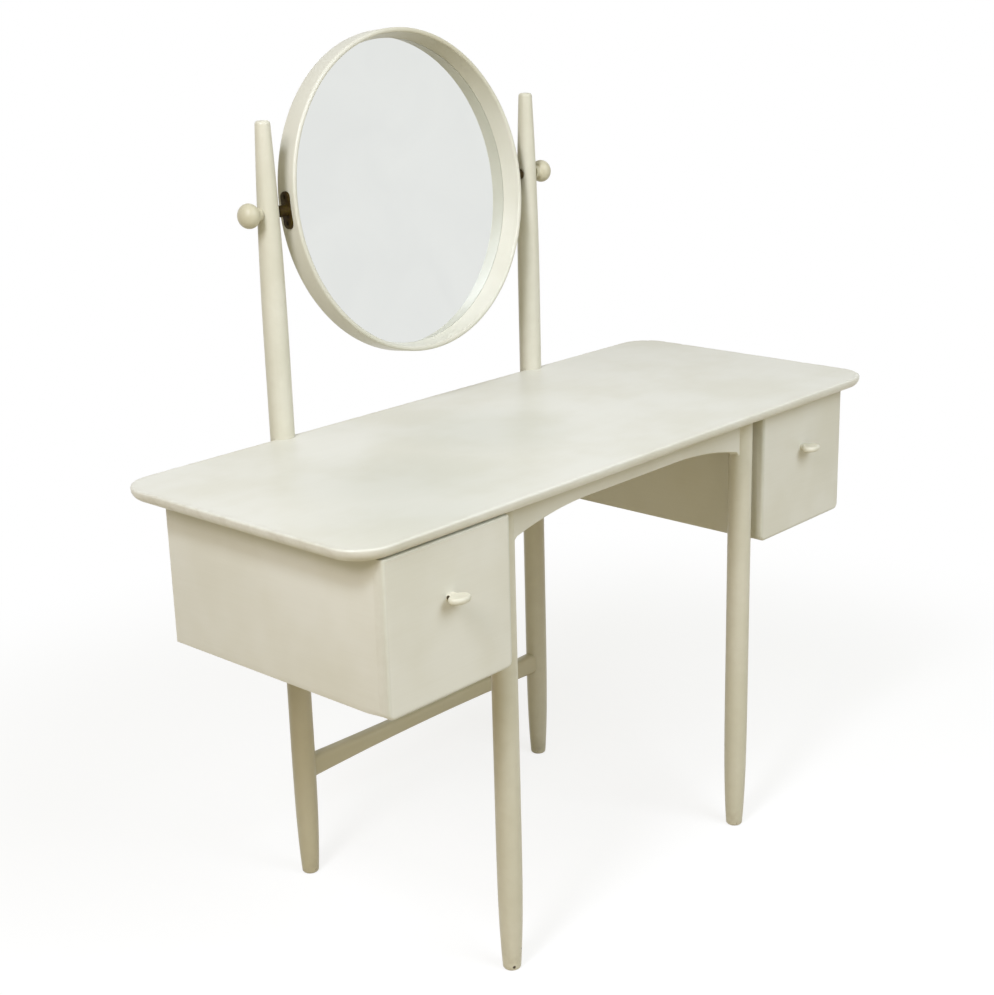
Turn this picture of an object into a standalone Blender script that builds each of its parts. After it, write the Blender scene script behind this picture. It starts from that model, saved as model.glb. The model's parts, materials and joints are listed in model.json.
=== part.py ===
# Dressing table with two hanging drawers and a round tilting mirror.
# Metres, +Z up, +X to the right of someone facing it, +Y to the back, feet on Z = 0.

import math

import bmesh
import bpy
from mathutils import Vector

# Clearances
FIT_GAP = 0.0003            # between pieces that touch
SLIDE_GAP = 0.0005          # beside a drawer side that slides along its runner

# Table top
TOP_HEIGHT = 0.720          # floor to upper face
TOP_DEPTH = 0.480
TOP_THICKNESS = 0.018
TOP_CORNER_RADIUS = 0.055
TOP_UPPER_ROUNDING = 0.0030
TOP_EDGE_FLAT = 0.0004      # between its upper and lower rounding
TOP_SIDE_OVERHANG = 0.0428  # past the drawers' outer sides
TOP_CENTRE_Y = -0.0133      # puts the middle of the whole object on Y = 0

# Legs and posts
LEG_RADIUS = 0.0183
FOOT_RADIUS = 0.0130
FOOT_ROUNDING = 0.0040
FOOT_TAPER = 0.250          # height of the tapered part
FOOT_TAPER_POWER = 3.5
FRONT_LEG_INSET = 0.0517    # front edge of the top to the front legs' axes
POST_BEHIND_EDGE = 0.0030   # rear edge of the top to the posts' axes
POST_ABOVE_TOP = 0.458
POST_TAPER = 0.318          # length of the tapered part below the tip
POST_TIP_RADIUS = 0.0108
POST_TIP_ROUNDING = 0.0050
SPIGOT_RADIUS = 0.0100      # round tenon of a front leg in the top
SPIGOT_LENGTH = 0.0100

# Rails
TENON_THICKNESS = 0.0080
TENON_HEIGHT = 0.0260
TENON_DEPTH = 0.0110
APRON_THICKNESS = 0.018
APRON_MIDDLE_HEIGHT = 0.0332
APRON_STRAIGHT = 0.100      # half of the straight middle of its lower edge
APRON_ARCH_RADIUS = 0.592
APRON_FILLET = 0.009        # between its lower edge and a leg
APRON_EDGE = 0.0025         # rounding of its lower edges
RAIL_THICKNESS = 0.020
RAIL_HEIGHT = 0.044
RAIL_EDGE = 0.0015
STRETCHER_THICKNESS = 0.022
STRETCHER_MIDDLE_LOW = 0.1678
STRETCHER_MIDDLE_HIGH = 0.1940
STRETCHER_LOW_SWEEP = 0.0065   # how far the lower edge drops at the posts
STRETCHER_HIGH_SWEEP = 0.0050  # how far the upper edge rises at the posts
STRETCHER_EDGE = 0.0080

# Drawers
DRAWER_WIDTH = 0.229
DRAWER_LENGTH = 0.421
DRAWER_LEG_GAP = 0.0143     # leg to drawer
DRAWER_INSET = 0.0310       # front edge of the top to the closed front
DRAWER_OPEN = 0.0254        # how far the left drawer stands open
FRONT_HEIGHT = 0.2091
FRONT_THICKNESS = 0.018
FRONT_TOP_GAP = 0.0013      # front to the underside of the top
FRONT_ROUNDING = 0.0055     # its front edges at the sides and below
FRONT_TOP_ROUNDING = 0.0015
SIDE_THICKNESS = 0.012
SIDE_TONGUE = 0.0060        # thickness of the side's tongue in the front
HOUSING_DEPTH = 0.0060      # how far one drawer piece sits in another
BACK_THICKNESS = 0.010
BACK_SETBACK = 0.006        # rear ends of the sides to the back
BACK_TOP_GAP = 0.003        # back to the runner above it
BOTTOM_THICKNESS = 0.005
BOTTOM_RISE = 0.0085        # lower edge of the sides to the bottom panel

# Runners
RUNNER_CAP_HEIGHT = 0.0197
RUNNER_CAP_WIDTH = 0.0240
RUNNER_CAP_STEP = 0.0010    # how far the web stands past the cap, towards the drawer side
RUNNER_WEB_THICKNESS = 0.009
RUNNER_WEB_HEIGHT = 0.020
RUNNER_TONGUE_HEIGHT = 0.006
RUNNER_TONGUE_REACH = 0.0060   # how far the tongue sits in the side's groove
RUNNER_FOOT_SETBACK = 0.0020   # ends of the cap's underside to the web and tongue
RUNNER_REAR_GAP = 0.0100    # rear end of the closed drawer to the runner's end
RUNNER_CHAMFER = 0.0060     # its rear lower corner

# Pulls
PULL_DROP = 0.0777          # upper edge of the front to the pull's middle
PULL_WIDTH = 0.034
PULL_REACH = 0.0280
PULL_BLADE = 0.0240         # length of the oval part
PULL_NECK = 0.0160          # width of the neck
PULL_THICKNESS = 0.0090
PULL_ROUNDING = 0.0030

# Mirror
PIVOT_BELOW_TIP = 0.1292    # tip of a post down to the pivot
MIRROR_TILT = math.radians(6.74)
MIRROR_RADIUS = 0.2438
RIM_DEPTH = 0.0372
RIM_AHEAD = 0.0190          # pivot's axis to the front of the rim
RIM_THICKNESS = 0.0128      # at the glass
RIM_FRONT_THICKNESS = 0.0076
RIM_FRONT_ROUNDING = 0.0036
RIM_ROUNDING = 0.003        # its rear outer edge
RIM_REBATE = 0.005          # how far the glass goes into the rim
GLASS_RECESS = 0.0300       # front of the rim to the glass
GLASS_THICKNESS = 0.0030
BACKBOARD_THICKNESS = 0.0020
BACK_PIN_RADIUS = 0.0006
BACK_PIN_LENGTH = 0.0120
BACK_PIN_GRIP = 0.0042      # length in the rim

# Pivots and knobs
PIVOT_GAP = 0.0200          # rim to post at the pivot
PLATE_LENGTH = 0.054
PLATE_WIDTH = 0.0185
PLATE_THICKNESS = 0.0035
BOSS_RADIUS = 0.0084
BOLT_RADIUS = 0.0030
BOLT_END_GAP = 0.0010       # at both ends of the bolt
KNOB_RADIUS = 0.0180
KNOB_HALF_LENGTH = 0.0150   # its ball is flattened along the axis
KNOB_NECK_RADIUS = 0.0100
KNOB_NECK_LENGTH = 0.0070
PLATE_SCREW_SPACING = 0.038

# Screws: radius of the head, height of the head, radius of the shank, length under the head
WOOD_SCREW_HEAD = 0.0036
WOOD_SCREW_HEAD_HEIGHT = 0.0022
WOOD_SCREW_SHANK = 0.0018
RUNNER_SCREW_LENGTH = 0.0245
RUNNER_SCREW_END = 0.050    # ends of the runner to its screws
RAIL_SCREW_LENGTH = 0.032
RAIL_SCREW_SINK = 0.022     # depth of the hole for the head
RAIL_SCREW_SPACING = 0.240
POST_SCREW_LENGTH = 0.045
POST_SCREW_SINK = 0.010
PULL_SCREW_LENGTH = 0.030
PLATE_SCREW_HEAD = 0.0030
PLATE_SCREW_HEAD_HEIGHT = 0.0018
PLATE_SCREW_SHANK = 0.0013
PLATE_SCREW_LENGTH = 0.0075

# Facets
LEG_FACETS = 24
RIM_FACETS = 64
KNOB_FACETS = 16
SCREW_FACETS = 8
ROUND_STEPS = 3             # facets in a quarter round
RIM_ROUND_STEPS = 2
ARCH_STEPS = 8              # facets in half an arched edge
POST_STEPS = 7              # rings in a post's taper
SHARP_ANGLE = math.radians(50)

# Cutters
OVERSHOOT = 0.002           # how far a cutter runs past the face it starts at
COPE_HALF_HEIGHT = 0.100    # of the cutter that shapes a rail's end to a leg

# Levels and lines that follow from the sizes
UNDERSIDE = TOP_HEIGHT - TOP_THICKNESS
TOP_REAR_Y = TOP_CENTRE_Y + TOP_DEPTH / 2
TOP_FRONT_Y = TOP_CENTRE_Y - TOP_DEPTH / 2
FRONT_LEG_Y = TOP_FRONT_Y + FRONT_LEG_INSET
POST_Y = TOP_REAR_Y + POST_BEHIND_EDGE
POST_TOP = TOP_HEIGHT + POST_ABOVE_TOP
PIVOT_Z = POST_TOP - PIVOT_BELOW_TIP
DRAWER_FRONT_Y = TOP_FRONT_Y + DRAWER_INSET


def leg_radius(height):
    share = min(height / FOOT_TAPER, 1.0)
    return FOOT_RADIUS + (LEG_RADIUS - FOOT_RADIUS) * (1 - (1 - share) ** FOOT_TAPER_POWER)


def post_radius(height):
    share = max((height - (POST_TOP - POST_TAPER)) / POST_TAPER, 0.0)
    return LEG_RADIUS - (LEG_RADIUS - POST_TIP_RADIUS) * share ** 2


# The posts stand where the mirror leaves room for its pivots, and the drawers beside them.
LEG_X = MIRROR_RADIUS + PIVOT_GAP + post_radius(PIVOT_Z)
DRAWER_X = LEG_X + LEG_RADIUS + DRAWER_LEG_GAP + DRAWER_WIDTH / 2
TOP_WIDTH = 2 * (DRAWER_X + DRAWER_WIDTH / 2 + TOP_SIDE_OVERHANG)

# Heights in a drawer and its runners, measured from the underside of the top
CAP_BOTTOM = -FIT_GAP - RUNNER_CAP_HEIGHT
WEB_BOTTOM = CAP_BOTTOM - RUNNER_WEB_HEIGHT
TONGUE_TOP = WEB_BOTTOM + RUNNER_TONGUE_HEIGHT
FRONT_TOP = -FRONT_TOP_GAP
DRAWER_LOW = FRONT_TOP - FRONT_HEIGHT
SIDE_TOP = FRONT_TOP
BACK_TOP = WEB_BOTTOM - BACK_TOP_GAP
PANEL_LOW = DRAWER_LOW + BOTTOM_RISE
PANEL_TOP = PANEL_LOW + BOTTOM_THICKNESS

ALONG_X = (0, math.radians(90), 0)
ALONG_Y = (math.radians(-90), 0, 0)


def clear_scene():
    for obj in list(bpy.data.objects):
        bpy.data.objects.remove(obj, do_unlink=True)


def material(name, colour, roughness, metallic):
    made = bpy.data.materials.new(name)
    made.use_nodes = True
    shader = made.node_tree.nodes["Principled BSDF"]
    shader.inputs["Base Color"].default_value = (*colour, 1)
    shader.inputs["Roughness"].default_value = roughness
    shader.inputs["Metallic"].default_value = metallic
    return made


def add(name, bm, finish=None, location=(0, 0, 0), rotation=(0, 0, 0), parent=None):
    bmesh.ops.recalc_face_normals(bm, faces=bm.faces)
    mesh = bpy.data.meshes.new(name)
    bm.to_mesh(mesh)
    bm.free()
    mesh.shade_smooth()
    mesh.set_sharp_from_angle(angle=SHARP_ANGLE)
    obj = bpy.data.objects.new(name, mesh)
    bpy.context.scene.collection.objects.link(obj)
    obj.location = location
    obj.rotation_euler = rotation
    obj.parent = parent
    if finish is None:
        obj.hide_render = True
        obj.display_type = "WIRE"
    else:
        mesh.materials.append(finish)
    return obj


def pivot(name, location, rotation=(0, 0, 0)):
    empty = bpy.data.objects.new(name, None)
    bpy.context.scene.collection.objects.link(empty)
    empty.location = location
    empty.rotation_euler = rotation
    return empty


def box(width, depth, height):
    bm = bmesh.new()
    bmesh.ops.create_cube(bm, size=1)
    bmesh.ops.scale(bm, vec=(width, depth, height), verts=bm.verts)
    return bm


def bevel(bm, edges, size, segments):
    bmesh.ops.bevel(
        bm, geom=edges, offset=size, offset_type="OFFSET", affect="EDGES",
        segments=segments, profile=0.5, material=-1, clamp_overlap=False,
    )


def prism(outline, thickness):
    # The outline lies in X and Z, and the prism is centred on Y = 0.
    bm = bmesh.new()
    face = bm.faces.new([bm.verts.new((x, -thickness / 2, z)) for x, z in outline])
    raised = bmesh.ops.extrude_face_region(bm, geom=[face])["geom"]
    bmesh.ops.translate(
        bm, vec=(0, thickness, 0), verts=[v for v in raised if isinstance(v, bmesh.types.BMVert)]
    )
    bmesh.ops.recalc_face_normals(bm, faces=bm.faces)
    return bm


def turned(profile, facets, ring=False):
    # The profile is radius and height. It ends on the axis, or closes on itself for a ring.
    bm = bmesh.new()
    verts = [bm.verts.new((radius, 0, height)) for radius, height in profile]
    ends = verts[1:] + verts[:1] if ring else verts[1:]
    edges = [bm.edges.new(pair) for pair in zip(verts, ends)]
    bmesh.ops.spin(
        bm, geom=verts + edges, cent=(0, 0, 0), axis=(0, 0, 1), dvec=(0, 0, 0),
        angle=math.radians(360), steps=facets, use_merge=True, use_duplicate=False,
    )
    bmesh.ops.remove_doubles(bm, verts=bm.verts, dist=1e-6)
    return bm


def cylinder(radius, low, high, facets):
    return turned([(0, low), (radius, low), (radius, high), (0, high)], facets)


def quarter(centre, radius, start, steps):
    # Points of a quarter circle, from the start angle in degrees upwards
    return [
        (
            centre[0] + radius * math.cos(math.radians(start + 90 * i / steps)),
            centre[1] + radius * math.sin(math.radians(start + 90 * i / steps)),
        )
        for i in range(steps + 1)
    ]


def boolean(obj, other, operation):
    modifier = obj.modifiers.new(other.name, "BOOLEAN")
    modifier.operation = operation
    modifier.solver = "EXACT"
    modifier.object = other


def cut(obj, name, bm, location=(0, 0, 0), rotation=(0, 0, 0), parent=None):
    boolean(obj, add(name, bm, None, location, rotation, parent), "DIFFERENCE")


def join(obj, name, bm, location=(0, 0, 0), rotation=(0, 0, 0), parent=None):
    boolean(obj, add(name, bm, None, location, rotation, parent), "UNION")


def screw_shape(head, head_height, shank, length):
    # Head at the bottom, point at the top. Z = 0 is the underside of the head.
    return turned(
        [
            (0, -head_height),
            (head, -head_height),
            (head, -head_height / 2),
            (shank, 0),
            (shank, length - 2 * shank),
            (0, length),
        ],
        SCREW_FACETS,
    )


def screw_hole(head, head_height, shank, length, sink):
    # The hole for that screw. The head's part runs on by the sink below it.
    return turned(
        [
            (0, -head_height - sink),
            (head + FIT_GAP, -head_height - sink),
            (head + FIT_GAP, -head_height / 2 + FIT_GAP),
            (shank + FIT_GAP, 2 * FIT_GAP),
            (shank + FIT_GAP, length),
            (0, length + FIT_GAP),
        ],
        SCREW_FACETS,
    )


WOOD_SCREW = (WOOD_SCREW_HEAD, WOOD_SCREW_HEAD_HEIGHT, WOOD_SCREW_SHANK)
PLATE_SCREW = (PLATE_SCREW_HEAD, PLATE_SCREW_HEAD_HEIGHT, PLATE_SCREW_SHANK)


def foot_profile():
    flat = leg_radius(FOOT_ROUNDING) - FOOT_ROUNDING
    points = [(0, 0)] + quarter((flat, FOOT_ROUNDING), FOOT_ROUNDING, -90, ROUND_STEPS)
    for share in (0.06, 0.12, 0.2, 0.32, 0.48, 0.7, 1.0):
        points.append((leg_radius(share * FOOT_TAPER), share * FOOT_TAPER))
    return points


def make_legs(paint):
    legs = {}
    for word, side in (("left", -1), ("right", 1)):
        spigot_top = UNDERSIDE + SPIGOT_LENGTH
        profile = foot_profile() + [
            (LEG_RADIUS, UNDERSIDE - FIT_GAP),
            (SPIGOT_RADIUS, UNDERSIDE - FIT_GAP),
            (SPIGOT_RADIUS, spigot_top),
            (0, spigot_top),
        ]
        legs["front", side] = add(
            f"front_{word}_leg", turned(profile, LEG_FACETS), paint,
            (side * LEG_X, FRONT_LEG_Y, 0),
        )

        profile = foot_profile()
        taper_start = POST_TOP - POST_TAPER
        tip_start = POST_TOP - POST_TIP_ROUNDING
        for i in range(POST_STEPS + 1):
            height = taper_start + (tip_start - taper_start) * i / POST_STEPS
            profile.append((post_radius(height), height))
        shoulder = post_radius(tip_start) - POST_TIP_ROUNDING
        profile += quarter((shoulder, tip_start), POST_TIP_ROUNDING, 0, ROUND_STEPS)[1:]
        profile.append((0, POST_TOP))
        post = add(
            f"rear_{word}_leg", turned(profile, LEG_FACETS), paint, (side * LEG_X, POST_Y, 0)
        )
        legs["rear", side] = post
        cut(
            post, f"{word}_bolt_bore",
            cylinder(BOLT_RADIUS + FIT_GAP, -LEG_RADIUS - OVERSHOOT, LEG_RADIUS + OVERSHOOT, SCREW_FACETS),
            (side * LEG_X, POST_Y, PIVOT_Z), ALONG_X,
        )
    return legs


def make_top(paint):
    bm = box(TOP_WIDTH, TOP_DEPTH, TOP_THICKNESS)
    upright = [e for e in bm.edges if abs(e.verts[0].co.z - e.verts[1].co.z) > TOP_THICKNESS / 2]
    bevel(bm, upright, TOP_CORNER_RADIUS, 7)
    upper = [e for e in bm.edges if all(v.co.z > 0 for v in e.verts)]
    bevel(bm, upper, TOP_UPPER_ROUNDING, 2)
    lower = [e for e in bm.edges if all(v.co.z < -TOP_THICKNESS / 4 for v in e.verts)]
    bevel(bm, lower, TOP_THICKNESS - TOP_UPPER_ROUNDING - TOP_EDGE_FLAT, 4)
    top = add("table_top", bm, paint, (0, TOP_CENTRE_Y, TOP_HEIGHT - TOP_THICKNESS / 2))
    for word, side in (("left", -1), ("right", 1)):
        cut(
            top, f"{word}_post_notch",
            cylinder(LEG_RADIUS + FIT_GAP, UNDERSIDE - OVERSHOOT, TOP_HEIGHT + OVERSHOOT, LEG_FACETS),
            (side * LEG_X, POST_Y, 0),
        )
        cut(
            top, f"{word}_spigot_hole",
            cylinder(
                SPIGOT_RADIUS + FIT_GAP, UNDERSIDE - OVERSHOOT, UNDERSIDE + SPIGOT_LENGTH + FIT_GAP, LEG_FACETS
            ),
            (side * LEG_X, FRONT_LEG_Y, 0),
        )
    return top


def arched_outline(half, high, high_sweep, low, low_sweep):
    # Both edges sweep apart from the middle towards the ends.
    shares = [i / ARCH_STEPS for i in range(-ARCH_STEPS, ARCH_STEPS + 1)]
    lower = [(half * share, low - low_sweep * share ** 2) for share in shares]
    upper = [(half * share, high + high_sweep * share ** 2) for share in shares]
    return lower + upper[::-1]


def apron_outline():
    # Half of the lower edge runs from the middle out to the fillet at the leg.
    reach = LEG_X - LEG_RADIUS - APRON_FILLET
    low_middle = UNDERSIDE - APRON_MIDDLE_HEIGHT
    half = [(0, low_middle)]
    for i in range(ARCH_STEPS + 1):
        x = APRON_STRAIGHT + (reach - APRON_STRAIGHT) * i / ARCH_STEPS
        half.append((x, low_middle - (x - APRON_STRAIGHT) ** 2 / (2 * APRON_ARCH_RADIUS)))
    end = half.pop()
    half += quarter((end[0], end[1] - APRON_FILLET), APRON_FILLET, 0, ROUND_STEPS)[::-1]
    foot = half[-1][1]
    half.append((LEG_X, foot))
    half.append((LEG_X, UNDERSIDE - FIT_GAP))
    mirrored = [(-x, z) for x, z in half[:0:-1]]
    return half + mirrored


def edges_along(bm, thickness, wanted):
    # Edges on the two flat sides of a prism whose faces' normals pass the test
    return [
        e for e in bm.edges
        if abs(abs(e.verts[0].co.y) - thickness / 2) < 1e-6
        and abs(e.verts[0].co.y - e.verts[1].co.y) < 1e-6
        and any(wanted(f.normal) for f in e.link_faces)
    ]


def tenon_rail(name, rail, ends, level, along_y):
    # Copes the rail's ends to the legs, and gives it a tenon in each with a mortise around it.
    for word, leg, leg_x, leg_y, inward in ends:
        cut(
            rail, f"{name}_{word}_cope",
            cylinder(leg_radius(level) + FIT_GAP, -COPE_HALF_HEIGHT, COPE_HALF_HEIGHT, LEG_FACETS),
            (leg_x, leg_y, level),
        )
        inner = leg_radius(level) - TENON_DEPTH
        length = 2 * TENON_DEPTH
        middle = inner + length / 2
        centre = Vector((leg_x, leg_y, level)) + Vector(inward) * middle
        size = (TENON_THICKNESS, length) if along_y else (length, TENON_THICKNESS)
        join(rail, f"{name}_{word}_tenon", box(*size, TENON_HEIGHT), centre)
        grown = [side + 2 * FIT_GAP for side in (*size, TENON_HEIGHT)]
        cut(leg, f"{name}_{word}_mortise", box(*grown), centre)


def make_rails(paint, legs):
    bm = prism(apron_outline(), APRON_THICKNESS)
    bevel(bm, edges_along(bm, APRON_THICKNESS, lambda n: n.z < -0.5), APRON_EDGE, 2)
    apron = add("front_apron", bm, paint, (0, FRONT_LEG_Y, 0))
    level = UNDERSIDE - APRON_MIDDLE_HEIGHT / 2
    ends = [
        ("left", legs["front", -1], -LEG_X, FRONT_LEG_Y, (1, 0, 0)),
        ("right", legs["front", 1], LEG_X, FRONT_LEG_Y, (-1, 0, 0)),
    ]
    tenon_rail("apron", apron, ends, level, False)

    rail_level = UNDERSIDE - FIT_GAP - RAIL_HEIGHT / 2
    bm = box(2 * LEG_X, RAIL_THICKNESS, RAIL_HEIGHT)
    bevel(bm, edges_along(bm, RAIL_THICKNESS, lambda n: n.z < -0.5), RAIL_EDGE, 2)
    rear = add("rear_rail", bm, paint, (0, POST_Y, rail_level))
    ends = [
        ("left", legs["rear", -1], -LEG_X, POST_Y, (1, 0, 0)),
        ("right", legs["rear", 1], LEG_X, POST_Y, (-1, 0, 0)),
    ]
    tenon_rail("rear_rail", rear, ends, rail_level, False)

    low = STRETCHER_MIDDLE_LOW
    high = STRETCHER_MIDDLE_HIGH
    bm = prism(
        arched_outline(LEG_X, high, STRETCHER_HIGH_SWEEP, low, STRETCHER_LOW_SWEEP),
        STRETCHER_THICKNESS,
    )
    bevel(bm, edges_along(bm, STRETCHER_THICKNESS, lambda n: abs(n.z) > 0.5), STRETCHER_EDGE, 3)
    stretcher = add("rear_stretcher", bm, paint, (0, POST_Y, 0))
    tenon_rail("stretcher", stretcher, ends, (low + high) / 2, False)

    for word, side in (("left", -1), ("right", 1)):
        bm = box(RAIL_THICKNESS, POST_Y - FRONT_LEG_Y, RAIL_HEIGHT)
        rail = add(
            f"{word}_side_rail", bm, paint, (side * LEG_X, (POST_Y + FRONT_LEG_Y) / 2, rail_level)
        )
        ends = [
            ("front", legs["front", side], side * LEG_X, FRONT_LEG_Y, (0, 1, 0)),
            ("rear", legs["rear", side], side * LEG_X, POST_Y, (0, -1, 0)),
        ]
        tenon_rail(f"{word}_rail", rail, ends, rail_level, True)
        legs["rail", side] = rail


def make_top_screws(steel, top, legs):
    seat = UNDERSIDE - FIT_GAP - RAIL_HEIGHT + RAIL_SCREW_SINK
    middle = (POST_Y + FRONT_LEG_Y) / 2
    for word, side in (("left", -1), ("right", 1)):
        for end, step in (("front", -0.5), ("rear", 0.5)):
            place = (side * LEG_X, middle + step * RAIL_SCREW_SPACING, seat)
            name = f"{word}_rail_screw_{end}"
            add(name, screw_shape(*WOOD_SCREW, RAIL_SCREW_LENGTH), steel, place)
            for piece in (legs["rail", side], top):
                cut(
                    piece, f"{name}_hole_in_{piece.name}",
                    screw_hole(*WOOD_SCREW, RAIL_SCREW_LENGTH, RAIL_SCREW_SINK + OVERSHOOT), place,
                )
        # One screw through each post runs forward into the top's notch.
        place = (side * LEG_X, POST_Y + LEG_RADIUS - POST_SCREW_SINK, TOP_HEIGHT - TOP_THICKNESS / 2)
        turn = (math.radians(90), 0, 0)
        name = f"{word}_post_screw"
        add(name, screw_shape(*WOOD_SCREW, POST_SCREW_LENGTH), steel, place, turn)
        for piece in (legs["rear", side], top):
            cut(
                piece, f"{name}_hole_in_{piece.name}",
                screw_hole(*WOOD_SCREW, POST_SCREW_LENGTH, POST_SCREW_SINK + OVERSHOOT), place, turn,
            )


def runner_foot(outward):
    # Across the runner's lower part: the web inside the drawer, and the tongue in the side's groove
    web_face = SIDE_THICKNESS + SLIDE_GAP
    inner = web_face + RUNNER_WEB_THICKNESS
    tip = SIDE_THICKNESS - RUNNER_TONGUE_REACH
    root = CAP_BOTTOM + RUNNER_CAP_HEIGHT / 2
    points = [
        (web_face, root),
        (inner, root),
        (inner, WEB_BOTTOM),
        (tip, WEB_BOTTOM),
        (tip, TONGUE_TOP),
        (web_face, TONGUE_TOP),
    ]
    return [(outward * (DRAWER_WIDTH / 2 - inset), level) for inset, level in points]


def make_runners(paint, steel, top):
    # They start behind the closed front and end short of the closed drawer's rear end.
    start = DRAWER_FRONT_Y + FRONT_THICKNESS + SLIDE_GAP
    stop = DRAWER_FRONT_Y + DRAWER_LENGTH - RUNNER_REAR_GAP
    half = (stop - start) / 2
    cap_outline = [
        (-half, -FIT_GAP),
        (half, -FIT_GAP),
        (half, CAP_BOTTOM + RUNNER_CHAMFER),
        (half - RUNNER_CHAMFER, CAP_BOTTOM),
        (-half, CAP_BOTTOM),
    ]
    cap_outer = SIDE_THICKNESS + SLIDE_GAP + RUNNER_CAP_STEP
    cap_inner = cap_outer + RUNNER_CAP_WIDTH
    web_inner = SIDE_THICKNESS + SLIDE_GAP + RUNNER_WEB_THICKNESS
    foot_length = 2 * half - RUNNER_CHAMFER - 2 * RUNNER_FOOT_SETBACK
    for word, side in (("left", -1), ("right", 1)):
        for edge, outward in (("outer", side), ("inner", -side)):
            name = f"{word}_{edge}_runner"
            cap_x = side * DRAWER_X + outward * (DRAWER_WIDTH - cap_outer - cap_inner) / 2
            runner = add(
                name, prism(cap_outline, RUNNER_CAP_WIDTH), paint, (cap_x, start + half, UNDERSIDE),
                (0, 0, math.radians(90)),
            )
            join(
                runner, f"{name}_foot", prism(runner_foot(outward), foot_length),
                (side * DRAWER_X, start + RUNNER_FOOT_SETBACK + foot_length / 2, UNDERSIDE),
            )
            screw_x = side * DRAWER_X + outward * (DRAWER_WIDTH - web_inner - cap_inner) / 2
            for end, y in (("front", start + RUNNER_SCREW_END), ("rear", stop - RUNNER_SCREW_END)):
                place = (screw_x, y, UNDERSIDE + CAP_BOTTOM + WOOD_SCREW_HEAD_HEIGHT + FIT_GAP)
                add(f"{name}_screw_{end}", screw_shape(*WOOD_SCREW, RUNNER_SCREW_LENGTH), steel, place)
                for piece in (runner, top):
                    cut(
                        piece, f"{name}_screw_{end}_hole_in_{piece.name}",
                        screw_hole(*WOOD_SCREW, RUNNER_SCREW_LENGTH, OVERSHOOT), place,
                    )


def pull_outline():
    # Seen from above: an oval tongue on a narrower neck, flat against the front
    centre = PULL_REACH - PULL_BLADE / 2
    start = math.acos(PULL_NECK / PULL_WIDTH)
    steps = 14
    points = [(PULL_NECK / 2, 0)]
    for i in range(steps + 1):
        angle = -start + (math.pi + 2 * start) * i / steps
        points.append((PULL_WIDTH / 2 * math.cos(angle), centre + PULL_BLADE / 2 * math.sin(angle)))
    points.append((-PULL_NECK / 2, 0))
    return points


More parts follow.
